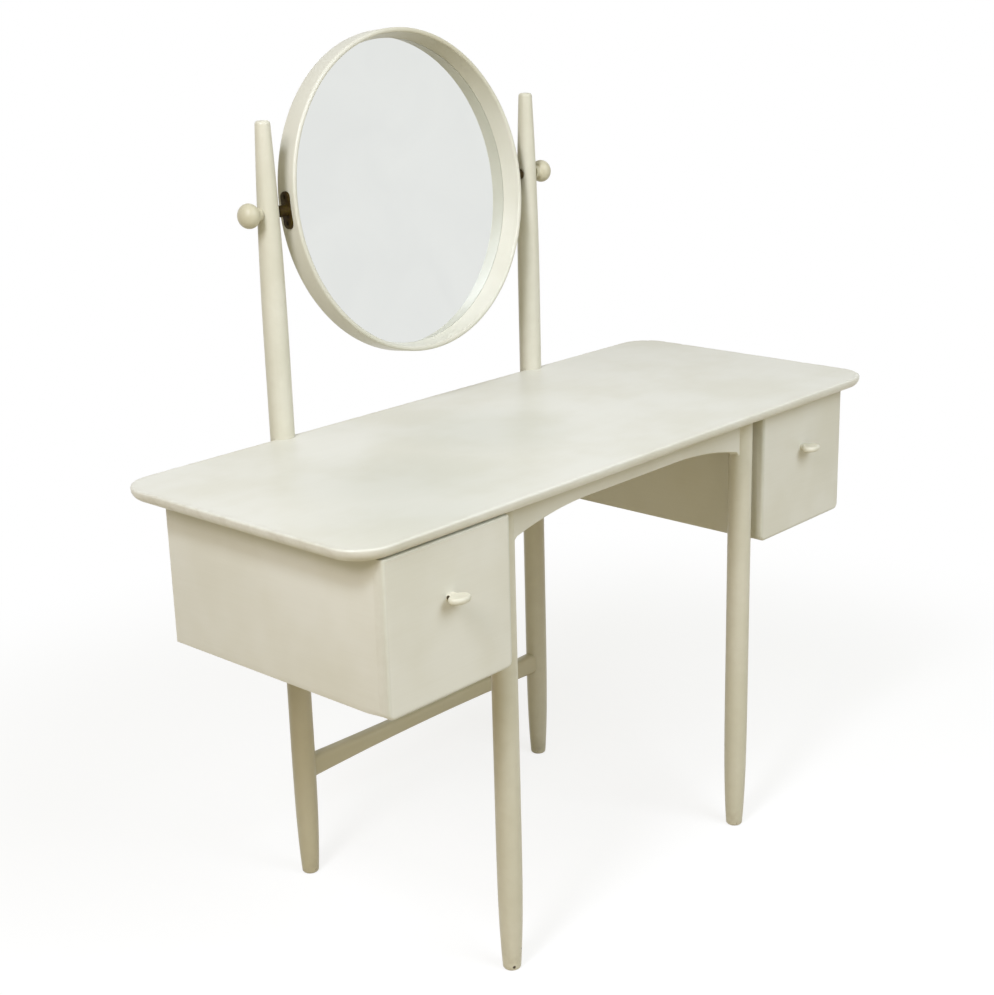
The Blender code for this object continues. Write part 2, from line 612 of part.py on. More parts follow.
def make_drawer(word, side, opened, paint, ply, steel):
    slide = pivot(f"{word}_drawer", (side * DRAWER_X, DRAWER_FRONT_Y - opened, UNDERSIDE))
    inner_half = DRAWER_WIDTH / 2 - SIDE_THICKNESS
    panel_half = inner_half + HOUSING_DEPTH - FIT_GAP
    panel_middle = (PANEL_LOW + PANEL_TOP) / 2
    groove = BOTTOM_THICKNESS + 2 * FIT_GAP
    back_y = DRAWER_LENGTH - BACK_SETBACK - BACK_THICKNESS / 2

    bm = box(DRAWER_WIDTH, FRONT_THICKNESS, FRONT_HEIGHT)
    ahead = [e for e in bm.edges if all(v.co.y < 0 for v in e.verts)]
    bevel(bm, [e for e in ahead if any(v.co.z < 0 for v in e.verts)], FRONT_ROUNDING, 3)
    rim = FRONT_HEIGHT / 2 - FRONT_TOP_ROUNDING / 2
    upper = [e for e in bm.edges if all(v.co.y < 0 and v.co.z > rim for v in e.verts)]
    bevel(bm, upper, FRONT_TOP_ROUNDING, 2)
    front = add(
        f"{word}_drawer_front", bm, paint,
        (0, FRONT_THICKNESS / 2, FRONT_TOP - FRONT_HEIGHT / 2), parent=slide,
    )
    cut(
        front, f"{word}_front_panel_groove",
        box(2 * inner_half + 2 * HOUSING_DEPTH, 2 * HOUSING_DEPTH, groove),
        (0, FRONT_THICKNESS, panel_middle), parent=slide,
    )

    tongue_high = SIDE_TOP - HOUSING_DEPTH
    tongue_low = DRAWER_LOW + HOUSING_DEPTH
    for edge, outward in (("outer", side), ("inner", -side)):
        middle_x = outward * (DRAWER_WIDTH - SIDE_THICKNESS) / 2
        length = DRAWER_LENGTH - FRONT_THICKNESS - FIT_GAP
        piece = add(
            f"{word}_drawer_{edge}_side", box(SIDE_THICKNESS, length, SIDE_TOP - DRAWER_LOW), paint,
            (middle_x, DRAWER_LENGTH - length / 2, (SIDE_TOP + DRAWER_LOW) / 2), parent=slide,
        )
        tongue_z = (tongue_high + tongue_low) / 2
        join(
            piece, f"{word}_{edge}_side_tongue",
            box(SIDE_TONGUE, 2 * HOUSING_DEPTH, tongue_high - tongue_low),
            (middle_x, FRONT_THICKNESS + FIT_GAP, tongue_z), parent=slide,
        )
        cut(
            front, f"{word}_{edge}_tongue_groove",
            box(
                SIDE_TONGUE + 2 * FIT_GAP, 2 * (HOUSING_DEPTH + FIT_GAP), tongue_high - tongue_low + 2 * FIT_GAP
            ),
            (middle_x, FRONT_THICKNESS, tongue_z), parent=slide,
        )
        inner_x = outward * inner_half
        groove_top = TONGUE_TOP + FIT_GAP
        groove_low = WEB_BOTTOM - SLIDE_GAP
        cut(
            piece, f"{word}_{edge}_runner_groove",
            box(2 * (RUNNER_TONGUE_REACH + SLIDE_GAP), 2 * DRAWER_LENGTH, groove_top - groove_low),
            (inner_x, DRAWER_LENGTH, (groove_top + groove_low) / 2), parent=slide,
        )
        cut(
            piece, f"{word}_{edge}_panel_groove",
            box(2 * HOUSING_DEPTH, 2 * DRAWER_LENGTH, groove),
            (inner_x, DRAWER_LENGTH, panel_middle), parent=slide,
        )
        # The back's housing runs down into the bottom panel's groove.
        housing_top = BACK_TOP + FIT_GAP
        cut(
            piece, f"{word}_{edge}_back_housing",
            box(2 * HOUSING_DEPTH, BACK_THICKNESS + 2 * FIT_GAP, housing_top - PANEL_LOW),
            (inner_x, back_y, (housing_top + PANEL_LOW) / 2), parent=slide,
        )

    back_low = PANEL_TOP + FIT_GAP
    add(
        f"{word}_drawer_back", box(2 * panel_half, BACK_THICKNESS, BACK_TOP - back_low), paint,
        (0, back_y, (BACK_TOP + back_low) / 2), parent=slide,
    )
    panel_front = FRONT_THICKNESS - HOUSING_DEPTH + FIT_GAP
    panel_rear = DRAWER_LENGTH - BACK_SETBACK
    add(
        f"{word}_drawer_bottom", box(2 * panel_half, panel_rear - panel_front, BOTTOM_THICKNESS), ply,
        (0, (panel_rear + panel_front) / 2, panel_middle), parent=slide,
    )

    pull_z = FRONT_TOP - PULL_DROP
    bm = prism(pull_outline(), PULL_THICKNESS)
    rounded = edges_along(bm, PULL_THICKNESS, lambda n: n.z > -0.9 and abs(n.y) < 0.5)
    bevel(bm, rounded, PULL_ROUNDING, 2)
    pull = add(
        f"{word}_drawer_pull", bm, paint, (0, -FIT_GAP, pull_z), (math.radians(90), 0, 0), slide
    )
    place = (0, FRONT_THICKNESS + FIT_GAP, pull_z)
    turn = (math.radians(90), 0, 0)
    add(
        f"{word}_pull_screw", screw_shape(*WOOD_SCREW, PULL_SCREW_LENGTH), steel, place, turn, slide
    )
    for piece in (front, pull):
        cut(
            piece, f"{word}_pull_screw_hole_in_{piece.name}",
            cylinder(WOOD_SCREW_SHANK + FIT_GAP, -OVERSHOOT, PULL_SCREW_LENGTH + FIT_GAP, SCREW_FACETS),
            place, turn, slide,
        )


def rim_profile():
    # Radius, and depth from the front of the rim towards the back
    outer = MIRROR_RADIUS
    inner = MIRROR_RADIUS - RIM_THICKNESS
    inner_front = MIRROR_RADIUS - RIM_FRONT_THICKNESS
    rebate = inner + RIM_REBATE
    soft = RIM_FRONT_ROUNDING
    rear = RIM_ROUNDING
    return (
        quarter((inner_front + soft, soft), soft, 180, ROUND_STEPS)
        + quarter((outer - soft, soft), soft, 270, ROUND_STEPS)
        + quarter((outer - rear, RIM_DEPTH - rear), rear, 0, RIM_ROUND_STEPS)
        + [(rebate, RIM_DEPTH), (rebate, GLASS_RECESS), (inner, GLASS_RECESS)]
    )


def obround(length, width, low, high):
    # Stands along Z with its flat faces across X, which is where the pivot's axis runs
    steps = 8
    outline = []
    for end in (1, -1):
        for i in range(steps + 1):
            angle = math.pi * i / steps
            outline.append(
                (end * width / 2 * math.cos(angle), end * ((length - width) / 2 + width / 2 * math.sin(angle)))
            )
    bm = prism(outline, high - low)
    bmesh.ops.translate(bm, vec=(0, (high + low) / 2, 0), verts=bm.verts)
    return bm


def make_mirror(paint, glass, board, bronze, steel):
    tilt = pivot("mirror", (0, POST_Y, PIVOT_Z), (-MIRROR_TILT, 0, 0))
    front = -RIM_AHEAD
    rebate = MIRROR_RADIUS - RIM_THICKNESS + RIM_REBATE
    facing = (0, front, 0)

    rim = add("mirror_rim", turned(rim_profile(), RIM_FACETS, True), paint, facing, ALONG_Y, tilt)
    glass_low = GLASS_RECESS + FIT_GAP
    glass_high = glass_low + GLASS_THICKNESS
    add(
        "mirror_glass", cylinder(rebate - SLIDE_GAP, glass_low, glass_high, RIM_FACETS), glass,
        facing, ALONG_Y, tilt,
    )
    board_low = glass_high + FIT_GAP
    board_high = board_low + BACKBOARD_THICKNESS
    add(
        "mirror_backboard", cylinder(rebate - SLIDE_GAP, board_low, board_high, RIM_FACETS), board,
        facing, ALONG_Y, tilt,
    )

    # Four pins lie on the backboard and run out into the rim.
    pin_y = front + board_high + FIT_GAP + BACK_PIN_RADIUS
    for number, degrees in enumerate((45, 135, 225, 315), 1):
        angle = math.radians(degrees)
        start = rebate + BACK_PIN_GRIP - BACK_PIN_LENGTH
        place = (start * math.cos(angle), pin_y, start * math.sin(angle))
        turn = (0, math.radians(90) - angle, 0)
        add(
            f"mirror_back_pin_{number}", cylinder(BACK_PIN_RADIUS, 0, BACK_PIN_LENGTH, SCREW_FACETS), steel,
            place, turn, tilt,
        )
        cut(
            rim, f"back_pin_{number}_hole",
            cylinder(
                BACK_PIN_RADIUS + FIT_GAP, BACK_PIN_LENGTH - BACK_PIN_GRIP - OVERSHOOT,
                BACK_PIN_LENGTH + FIT_GAP, SCREW_FACETS,
            ),
            place, turn, tilt,
        )

    # Each plate lies on a flat that is cut in the rim just deep enough for its ends to meet the rim.
    flat = math.sqrt(MIRROR_RADIUS ** 2 - (PLATE_LENGTH / 2) ** 2)
    plate_low = flat + FIT_GAP
    plate_high = plate_low + PLATE_THICKNESS
    boss_high = LEG_X - post_radius(PIVOT_Z - BOSS_RADIUS) - FIT_GAP
    for word, side in (("left", -1), ("right", 1)):
        turn = (0, 0, math.radians(-90 * side))
        outward = (0, math.radians(90 * side), 0)
        cut(
            rim, f"{word}_plate_flat",
            obround(PLATE_LENGTH + 2 * SLIDE_GAP, PLATE_WIDTH + 2 * SLIDE_GAP, flat, MIRROR_RADIUS + OVERSHOOT),
            (0, 0, 0), turn, tilt,
        )
        plate = add(
            f"{word}_pivot_plate", obround(PLATE_LENGTH, PLATE_WIDTH, plate_low, plate_high), bronze,
            (0, 0, 0), turn, tilt,
        )
        join(
            plate, f"{word}_boss",
            cylinder(BOSS_RADIUS, plate_low + PLATE_THICKNESS / 2, boss_high, KNOB_FACETS),
            (0, 0, 0), outward, tilt,
        )
        cut(
            plate, f"{word}_boss_bore",
            cylinder(BOLT_RADIUS + FIT_GAP, plate_high, boss_high + OVERSHOOT, SCREW_FACETS),
            (0, 0, 0), outward, tilt,
        )
        inward = (0, math.radians(-90 * side), 0)
        for end, step in (("lower", -0.5), ("upper", 0.5)):
            name = f"{word}_plate_screw_{end}"
            place = (side * (plate_high - PLATE_SCREW_HEAD_HEIGHT), 0, step * PLATE_SCREW_SPACING)
            add(name, screw_shape(*PLATE_SCREW, PLATE_SCREW_LENGTH), bronze, place, inward, tilt)
            for piece in (plate, rim):
                cut(
                    piece, f"{name}_hole_in_{piece.name}",
                    screw_hole(*PLATE_SCREW, PLATE_SCREW_LENGTH, OVERSHOOT), place, inward, tilt,
                )
        make_knob(word, side, plate_high, paint, steel)


def make_knob(word, side, plate_high, paint, steel):
    turn = pivot(f"{word}_knob_axis", (0, POST_Y, PIVOT_Z), (0, math.radians(90 * side), 0))
    neck_low = LEG_X + post_radius(PIVOT_Z - KNOB_NECK_RADIUS) + FIT_GAP
    neck_high = neck_low + KNOB_NECK_LENGTH
    ball = neck_high + KNOB_HALF_LENGTH * math.sqrt(1 - (KNOB_NECK_RADIUS / KNOB_RADIUS) ** 2)
    start = math.degrees(math.asin(KNOB_NECK_RADIUS / KNOB_RADIUS))
    profile = [(0, neck_low), (KNOB_NECK_RADIUS, neck_low)]
    steps = 8
    for i in range(steps):
        angle = math.radians(180 - start - (180 - start) * i / steps)
        profile.append((KNOB_RADIUS * math.sin(angle), ball + KNOB_HALF_LENGTH * math.cos(angle)))
    profile.append((0, ball + KNOB_HALF_LENGTH))
    knob = add(f"{word}_knob", turned(profile, KNOB_FACETS), paint, parent=turn)
    cut(
        knob, f"{word}_knob_bore",
        cylinder(BOLT_RADIUS + FIT_GAP, neck_low - OVERSHOOT, ball + FIT_GAP, SCREW_FACETS), parent=turn,
    )
    add(
        f"{word}_knob_bolt", cylinder(BOLT_RADIUS, plate_high + BOLT_END_GAP, ball, SCREW_FACETS), steel,
        parent=turn,
    )


def main():
    clear_scene()
    paint = material("ivory_paint", (0.78, 0.74, 0.62), 0.45, 0.0)
    ply = material("birch_plywood", (0.62, 0.47, 0.30), 0.6, 0.0)
    board = material("hardboard", (0.24, 0.15, 0.08), 0.7, 0.0)
    glass = material("silvered_glass", (0.86, 0.88, 0.87), 0.03, 1.0)
    bronze = material("dark_bronze", (0.045, 0.032, 0.018), 0.4, 0.9)
    steel = material("zinc_steel", (0.55, 0.55, 0.53), 0.35, 1.0)

    legs = make_legs(paint)
    top = make_top(paint)
    make_rails(paint, legs)
    make_top_screws(steel, top, legs)
    make_runners(paint, steel, top)
    make_drawer("left", -1, DRAWER_OPEN, paint, ply, steel)
    make_drawer("right", 1, 0.0, paint, ply, steel)
    make_mirror(paint, glass, board, bronze, steel)


main()
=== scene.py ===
import json
import math

import bmesh
import bpy
from mathutils import Matrix, Vector, noise


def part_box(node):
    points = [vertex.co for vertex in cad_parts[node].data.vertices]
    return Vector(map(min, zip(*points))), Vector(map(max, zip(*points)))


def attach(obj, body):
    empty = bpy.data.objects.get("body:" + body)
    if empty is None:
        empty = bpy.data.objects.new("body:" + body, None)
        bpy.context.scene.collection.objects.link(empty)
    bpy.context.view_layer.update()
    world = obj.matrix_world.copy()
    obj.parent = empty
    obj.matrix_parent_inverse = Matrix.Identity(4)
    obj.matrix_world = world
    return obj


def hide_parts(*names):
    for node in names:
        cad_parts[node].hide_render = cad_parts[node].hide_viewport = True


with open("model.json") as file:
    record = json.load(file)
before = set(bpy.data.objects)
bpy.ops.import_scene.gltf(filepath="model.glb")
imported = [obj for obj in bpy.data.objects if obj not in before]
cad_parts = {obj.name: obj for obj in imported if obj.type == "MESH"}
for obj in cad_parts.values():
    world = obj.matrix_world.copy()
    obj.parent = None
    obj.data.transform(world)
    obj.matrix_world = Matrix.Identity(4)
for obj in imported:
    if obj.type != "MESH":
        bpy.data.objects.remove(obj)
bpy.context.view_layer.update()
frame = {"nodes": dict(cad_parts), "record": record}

scene = bpy.context.scene
scene.view_settings.view_transform = "Standard"
nodes = frame["nodes"]
sides = (("left", -1), ("right", 1))
hairGap = 0.0003  # painted-over seams
tiny = 1e-5  # places closer than this are one place
squareOn = 0.999  # a normal this near to an axis lies along it


# small tools used by every piece

def linear(code):
    channels = [int(code[i:i + 2], 16) / 255 for i in (0, 2, 4)]
    return tuple(c / 12.92 if c <= 0.04045 else ((c + 0.055) / 1.055) ** 2.4 for c in channels) + (1.0,)


def perMetre(millimetres):
    return 1000.0 / millimetres


def clamp(value):
    return min(1.0, max(0.0, value))


def addNode(tree, kind, inputs=None, **settings):
    node = tree.nodes.new(kind)
    for name, value in settings.items():
        setattr(node, name, value)
    for socket, value in (inputs or {}).items():
        if isinstance(value, bpy.types.NodeSocket):
            tree.links.new(value, node.inputs[socket])
        else:
            node.inputs[socket].default_value = value
    return node


def newMaterial(name):
    made = bpy.data.materials.new(name)
    made.use_nodes = True
    return made, made.node_tree, made.node_tree.nodes["Principled BSDF"]


def bevelEdges(bm, edges, size, segments):
    bmesh.ops.bevel(bm, geom=edges, offset=size, offset_type="OFFSET", affect="EDGES",
                    segments=segments, profile=0.5, material=-1, clamp_overlap=False)


def spanOf(edge, axis):  # an edge's length along one axis
    return abs(edge.verts[0].co[axis] - edge.verts[1].co[axis])


def arc(across, along, radius, start, stop, steps):
    angles = [math.radians(start + (stop - start) * i / steps) for i in range(steps + 1)]
    return [(across + radius * math.cos(a), along + radius * math.sin(a)) for a in angles]


def blockOf(width, depth, height, centre):
    bm = bmesh.new()
    bmesh.ops.create_cube(bm, size=1)
    bmesh.ops.scale(bm, vec=(width, depth, height), verts=bm.verts)
    bmesh.ops.translate(bm, vec=centre, verts=bm.verts)
    return bm


def turnProfile(profile, steps, closed=False):  # profile is radius and height
    bm = bmesh.new()
    verts = [bm.verts.new((radius, 0, height)) for radius, height in profile]
    ends = verts[1:] + verts[:1] if closed else verts[1:]
    edges = [bm.edges.new(pair) for pair in zip(verts, ends)]
    bmesh.ops.spin(bm, geom=verts + edges, cent=(0, 0, 0), axis=(0, 0, 1), dvec=(0, 0, 0),
                   angle=math.radians(360), steps=steps, use_merge=True, use_duplicate=False)
    bmesh.ops.remove_doubles(bm, verts=bm.verts, dist=1e-6)
    bmesh.ops.recalc_face_normals(bm, faces=bm.faces)
    return bm


def pushFaces(bm, faces, length):  # makes flat faces solid along +Y
    pushed = bmesh.ops.extrude_face_region(bm, geom=faces)["geom"]
    pushed = [v for v in pushed if isinstance(v, bmesh.types.BMVert)]
    bmesh.ops.translate(bm, vec=(0, length, 0), verts=pushed)
    bmesh.ops.recalc_face_normals(bm, faces=bm.faces)


def extrudeOutline(outline, length):  # outline in X and Z, pushed along +Y
    bm = bmesh.new()
    face = bm.faces.new([bm.verts.new((x, 0, z)) for x, z in outline])
    pushFaces(bm, [face], length)
    return bm


def cutLoop(bm, place, normal):  # adds edges where a plane crosses the shape
    whole = bm.verts[:] + bm.edges[:] + bm.faces[:]
    bmesh.ops.bisect_plane(bm, geom=whole, plane_co=place, plane_no=normal)


def cutAway(piece, cutterShape):
    # cuts a closed shape out of a piece, and keeps the result as plain mesh
    cutterMesh = bpy.data.meshes.new("cutter")
    cutterShape.to_mesh(cutterMesh)
    cutterShape.free()
    cutter = bpy.data.objects.new("cutter", cutterMesh)
    scene.collection.objects.link(cutter)
    cutting = piece.modifiers.new("cut", "BOOLEAN")
    cutting.operation = "DIFFERENCE"
    cutting.solver = "EXACT"
    cutting.object = cutter
    graph = bpy.context.evaluated_depsgraph_get()
    result = bpy.data.meshes.new_from_object(piece.evaluated_get(graph))
    piece.modifiers.remove(cutting)
    bpy.data.objects.remove(cutter)
    bpy.data.meshes.remove(cutterMesh)
    piece.data = result


def makePiece(name, bm, body, slotName, finish, stands=(), sharpAngle=40, wear=None, cutters=(),
              shade=None):
    mesh = bpy.data.meshes.new(name)
    bm.to_mesh(mesh)
    bm.free()
    mesh.materials.append(finish)
    piece = bpy.data.objects.new(name, mesh)
    scene.collection.objects.link(piece)
    for cutterShape in cutters:
        cutAway(piece, cutterShape)
    mesh = piece.data
    mesh.name = name
    mesh.shade_smooth()
    mesh.set_sharp_from_angle(angle=math.radians(sharpAngle))
    if wear:  # 0 keeps the paint whole, 1 lets it rub through
        layer = mesh.attributes.new("wear", "FLOAT", "POINT")
        layer.data.foreach_set("value", [wear(v.co) for v in mesh.vertices])
    if shade:  # 1 is full painted shade
        layer = mesh.attributes.new("shade", "FLOAT", "POINT")
        layer.data.foreach_set("value", [shade(v.co) for v in mesh.vertices])
    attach(piece, body)
    if stands:
        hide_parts(*stands)


print("scene: tools ready")


# finishes

# Brushed satin alkyd paint on beech. It gives the eye a soft sheen, faint strokes along the board,
# slightly yellowed patches, and rubbed or chipped edges where the wear attribute says so. The shade
# attribute paints shade in. The three tones are one paint, lit and shaded: the boards' tone is painted
# lighter and the turned parts' tone darker and yellower. Each tone is a fresh and an aged colour, lengths
# are in millimetres, and a knock is a place in metres and its reach.
paintLook = {
    "boards": ("E8E6DB", "E0DDCE"), "hoop": ("DFDCCD", "D7D4C2"), "turned": ("DFDBC9", "D6D2BD"),
    "grime": "AFA388", "undercoat": "A2967B", "bareWood": "3A2E16",
    # colours that the painted shade mixes towards
    "shaded": {"boards": "B0B29C", "hoop": "B5A97E", "turned": "B5A97E"},
    "strokeDepth": {"boards": 0.06, "hoop": 0.01, "turned": 0.03},
    "strokeWidth": 3.5, "strokeLength": 160.0, "patch": 170.0, "rub": 16.0, "chip": 5.0, "pore": 1.4,
    "knocks": (((-0.4346, -0.2512, 0.6237), 3.0), ((-0.2868, -0.2127, 0.0070), 2.2),
               ((-0.2745, -0.2153, 0.0330), 1.2)),
}


def paintedBeech(name, tone, stretch):
    made, tree, shader = newMaterial(name)
    fresh, aged = paintLook[tone]
    place = addNode(tree, "ShaderNodeTexCoord").outputs["Object"]
    across, along = perMetre(paintLook["strokeWidth"]), perMetre(paintLook["strokeLength"])
    scale = [along if stretch == axis else across for axis in "XYZ"]
    strokePlace = addNode(tree, "ShaderNodeMapping", {"Vector": place, "Scale": scale}).outputs[0]
    strokes = addNode(tree, "ShaderNodeTexNoise", {"Vector": strokePlace, "Scale": 1.0, "Detail": 3.0,
                                                   "Roughness": 0.6}).outputs["Fac"]
    patches = addNode(tree, "ShaderNodeTexNoise", {"Vector": place, "Scale": perMetre(paintLook["patch"]),
                                                   "Detail": 3.0, "Roughness": 0.55}).outputs["Fac"]
    patchShare = addNode(tree, "ShaderNodeMapRange", {"Value": patches, "From Min": 0.36, "From Max": 0.66,
                                                      "To Min": 0.0, "To Max": 0.75},
                         interpolation_type="SMOOTHSTEP").outputs[0]
    strokeShare = addNode(tree, "ShaderNodeMapRange", {"Value": strokes, "From Min": 0.3, "From Max": 0.75,
                                                       "To Min": 0.0, "To Max": 0.18}).outputs[0]
    agedShare = addNode(tree, "ShaderNodeMath", {0: patchShare, 1: strokeShare}, operation="ADD",
                        use_clamp=True).outputs[0]
    coat = addNode(tree, "ShaderNodeMix", {0: agedShare, 6: linear(fresh), 7: linear(aged)},
                   data_type="RGBA").outputs[2]
    # painted shade: where the shade attribute says, the coat mixes towards the darker shaded colour
    shade = addNode(tree, "ShaderNodeAttribute", attribute_name="shade").outputs["Fac"]
    coat = addNode(tree, "ShaderNodeMix", {0: shade, 6: coat, 7: linear(paintLook["shaded"][tone])},
                   data_type="RGBA").outputs[2]

    # rubbed edges: undercoat shows in ragged patches, bare wood in small chips inside them
    wear = addNode(tree, "ShaderNodeAttribute", attribute_name="wear").outputs["Fac"]
    rubNoise = addNode(tree, "ShaderNodeTexNoise", {"Vector": place, "Scale": perMetre(paintLook["rub"]),
                                                    "Detail": 3.0, "Roughness": 0.55}).outputs["Fac"]
    rubLevel = addNode(tree, "ShaderNodeMapRange", {"Value": rubNoise, "From Min": 0.38, "From Max": 0.68,
                                                    "To Min": 0.0, "To Max": 0.6}).outputs[0]
    rubShare = addNode(tree, "ShaderNodeMath", {0: wear, 1: rubLevel}, operation="MULTIPLY").outputs[0]
    rubbed = addNode(tree, "ShaderNodeMix", {0: rubShare, 6: coat, 7: linear(paintLook["grime"])},
                     data_type="RGBA").outputs[2]
    chipNoise = addNode(tree, "ShaderNodeTexNoise", {"Vector": place, "Scale": perMetre(paintLook["chip"]),
                                                     "Detail": 2.0, "Roughness": 0.5}).outputs["Fac"]
    chipReach = addNode(tree, "ShaderNodeMath", {0: wear, 1: 0.30, 2: chipNoise},
                        operation="MULTIPLY_ADD").outputs[0]
    chipShare = addNode(tree, "ShaderNodeMapRange", {"Value": chipReach, "From Min": 0.94, "From Max": 0.97,
                                                     "To Min": 0.0, "To Max": 1.0}).outputs[0]
    colour = addNode(tree, "ShaderNodeMix", {0: chipShare, 6: rubbed, 7: linear(paintLook["undercoat"])},
                     data_type="RGBA").outputs[2]
    # a few knocks go through to the wood; the noise makes their edges ragged
    for spot, size in paintLook["knocks"]:
        away = addNode(tree, "ShaderNodeVectorMath", {0: place, 1: spot},
                       operation="DISTANCE").outputs["Value"]
        ragged = addNode(tree, "ShaderNodeMath", {0: chipNoise, 1: -0.002, 2: away},
                         operation="MULTIPLY_ADD").outputs[0]
        bare = addNode(tree, "ShaderNodeMapRange", {"Value": ragged, "From Min": size / 1000 - 0.0012,
                                                    "From Max": size / 1000 - 0.0006, "To Min": 1.0,
                                                    "To Max": 0.0}).outputs[0]
        colour = addNode(tree, "ShaderNodeMix", {0: bare, 6: colour, 7: linear(paintLook["bareWood"])},
                         data_type="RGBA").outputs[2]
    tree.links.new(colour, shader.inputs["Base Color"])

    gloss = addNode(tree, "ShaderNodeMapRange", {"Value": patches, "From Min": 0.3, "From Max": 0.7,
                                                 "To Min": 0.32, "To Max": 0.42}).outputs[0]
    tree.links.new(gloss, shader.inputs["Roughness"])
    pores = addNode(tree, "ShaderNodeTexNoise", {"Vector": place, "Scale": perMetre(paintLook["pore"]),
                                                 "Detail": 1.0}).outputs["Fac"]
    strokeBump = addNode(tree, "ShaderNodeBump", {
        "Height": strokes, "Strength": paintLook["strokeDepth"][tone], "Distance": 0.0003})
    poreBump = addNode(tree, "ShaderNodeBump", {"Height": pores, "Strength": 0.05, "Distance": 0.0002,
                                                "Normal": strokeBump.outputs[0]})
    chipBump = addNode(tree, "ShaderNodeBump", {"Height": chipShare, "Strength": 0.8, "Distance": 0.0003,
                                                "Normal": poreBump.outputs[0]}, invert=True)
    tree.links.new(chipBump.outputs[0], shader.inputs["Normal"])
    return made


paintAlongX = paintedBeech("brushed_alkyd_paint_boards_x", "boards", "X")
paintAlongY = paintedBeech("brushed_alkyd_paint_boards_y", "boards", "Y")
paintAlongZ = paintedBeech("brushed_alkyd_paint_boards_z", "boards", "Z")
turnedAlongX = paintedBeech("brushed_alkyd_paint_turned_x", "turned", "X")
turnedAlongZ = paintedBeech("brushed_alkyd_paint_turned_z", "turned", "Z")
hoopPaint = paintedBeech("brushed_alkyd_paint_hoop", "hoop", "Z")


# Birch plywood, rotary-cut and sanded: pale face with soft cathedral figure and short dark pores.
def birchPlywood():
    made, tree, shader = newMaterial("sanded_birch_plywood")
    place = addNode(tree, "ShaderNodeTexCoord").outputs["Object"]
    grainPlace = addNode(tree, "ShaderNodeMapping", {
        "Vector": place, "Scale": (perMetre(90), perMetre(9), perMetre(9))}).outputs[0]
    figure = addNode(tree, "ShaderNodeTexNoise", {"Vector": grainPlace, "Scale": 1.0, "Detail": 4.0,
                                                  "Distortion": 1.2}).outputs["Fac"]
    porePlace = addNode(tree, "ShaderNodeMapping", {
        "Vector": place, "Scale": (perMetre(14), perMetre(0.9), perMetre(0.9))}).outputs[0]
    pores = addNode(tree, "ShaderNodeTexNoise", {"Vector": porePlace, "Scale": 1.0,
                                                 "Detail": 1.0}).outputs["Fac"]
    poreShare = addNode(tree, "ShaderNodeMapRange", {"Value": pores, "From Min": 0.6, "From Max": 0.75,
                                                     "To Min": 0.0, "To Max": 0.5}).outputs[0]
    face = addNode(tree, "ShaderNodeMix", {0: figure, 6: linear("D9BE93"), 7: linear("C29F6D")},
                   data_type="RGBA").outputs[2]
    colour = addNode(tree, "ShaderNodeMix", {0: poreShare, 6: face, 7: linear("8F6C42")},
                     data_type="RGBA").outputs[2]
    tree.links.new(colour, shader.inputs["Base Color"])
    shader.inputs["Roughness"].default_value = 0.6
    bump = addNode(tree, "ShaderNodeBump", {"Height": pores, "Strength": 0.2, "Distance": 0.0002},
                   invert=True)
    tree.links.new(bump.outputs[0], shader.inputs["Normal"])
    return made


# Pressed hardboard: brown felted fibre with a flat, slightly greasy sheen.
def pressedHardboard():
    made, tree, shader = newMaterial("pressed_hardboard")
    place = addNode(tree, "ShaderNodeTexCoord").outputs["Object"]
    fibre = addNode(tree, "ShaderNodeTexNoise", {"Vector": place, "Scale": perMetre(1.2), "Detail": 4.0,
                                                 "Roughness": 0.7, "Distortion": 2.0}).outputs["Fac"]
    cloud = addNode(tree, "ShaderNodeTexNoise", {"Vector": place, "Scale": perMetre(60),
                                                 "Detail": 2.0}).outputs["Fac"]
    mixed = addNode(tree, "ShaderNodeMath", {0: fibre, 1: cloud}, operation="MULTIPLY").outputs[0]
    share = addNode(tree, "ShaderNodeMapRange", {"Value": mixed, "From Min": 0.12, "From Max": 0.4,
                                                 "To Min": 0.0, "To Max": 1.0}).outputs[0]
    colour = addNode(tree, "ShaderNodeMix", {0: share, 6: linear("6A4A2E"), 7: linear("8A6642")},
                     data_type="RGBA").outputs[2]
    tree.links.new(colour, shader.inputs["Base Color"])
    shader.inputs["Roughness"].default_value = 0.62
    bump = addNode(tree, "ShaderNodeBump", {"Height": fibre, "Strength": 0.25, "Distance": 0.0003})
    tree.links.new(bump.outputs[0], shader.inputs["Normal"])
    return made


# Silvered float glass: a clean, slightly grey reflection, softened a little where it was wiped.
def silveredGlass():
    made, tree, shader = newMaterial("silvered_float_glass")
    place = addNode(tree, "ShaderNodeTexCoord").outputs["Object"]
    smears = addNode(tree, "ShaderNodeTexNoise", {"Vector": place, "Scale": perMetre(120), "Detail": 3.0,
                                                  "Distortion": 0.8}).outputs["Fac"]
    colour = addNode(tree, "ShaderNodeMix", {0: smears, 6: linear("E0E2E0"), 7: linear("E8EAE7")},
                     data_type="RGBA").outputs[2]
    tree.links.new(colour, shader.inputs["Base Color"])
    haze = addNode(tree, "ShaderNodeMapRange", {"Value": smears, "From Min": 0.3, "From Max": 0.8,
                                                "To Min": 0.015, "To Max": 0.06}).outputs[0]
    tree.links.new(haze, shader.inputs["Roughness"])
    shader.inputs["Metallic"].default_value = 1.0
    return made


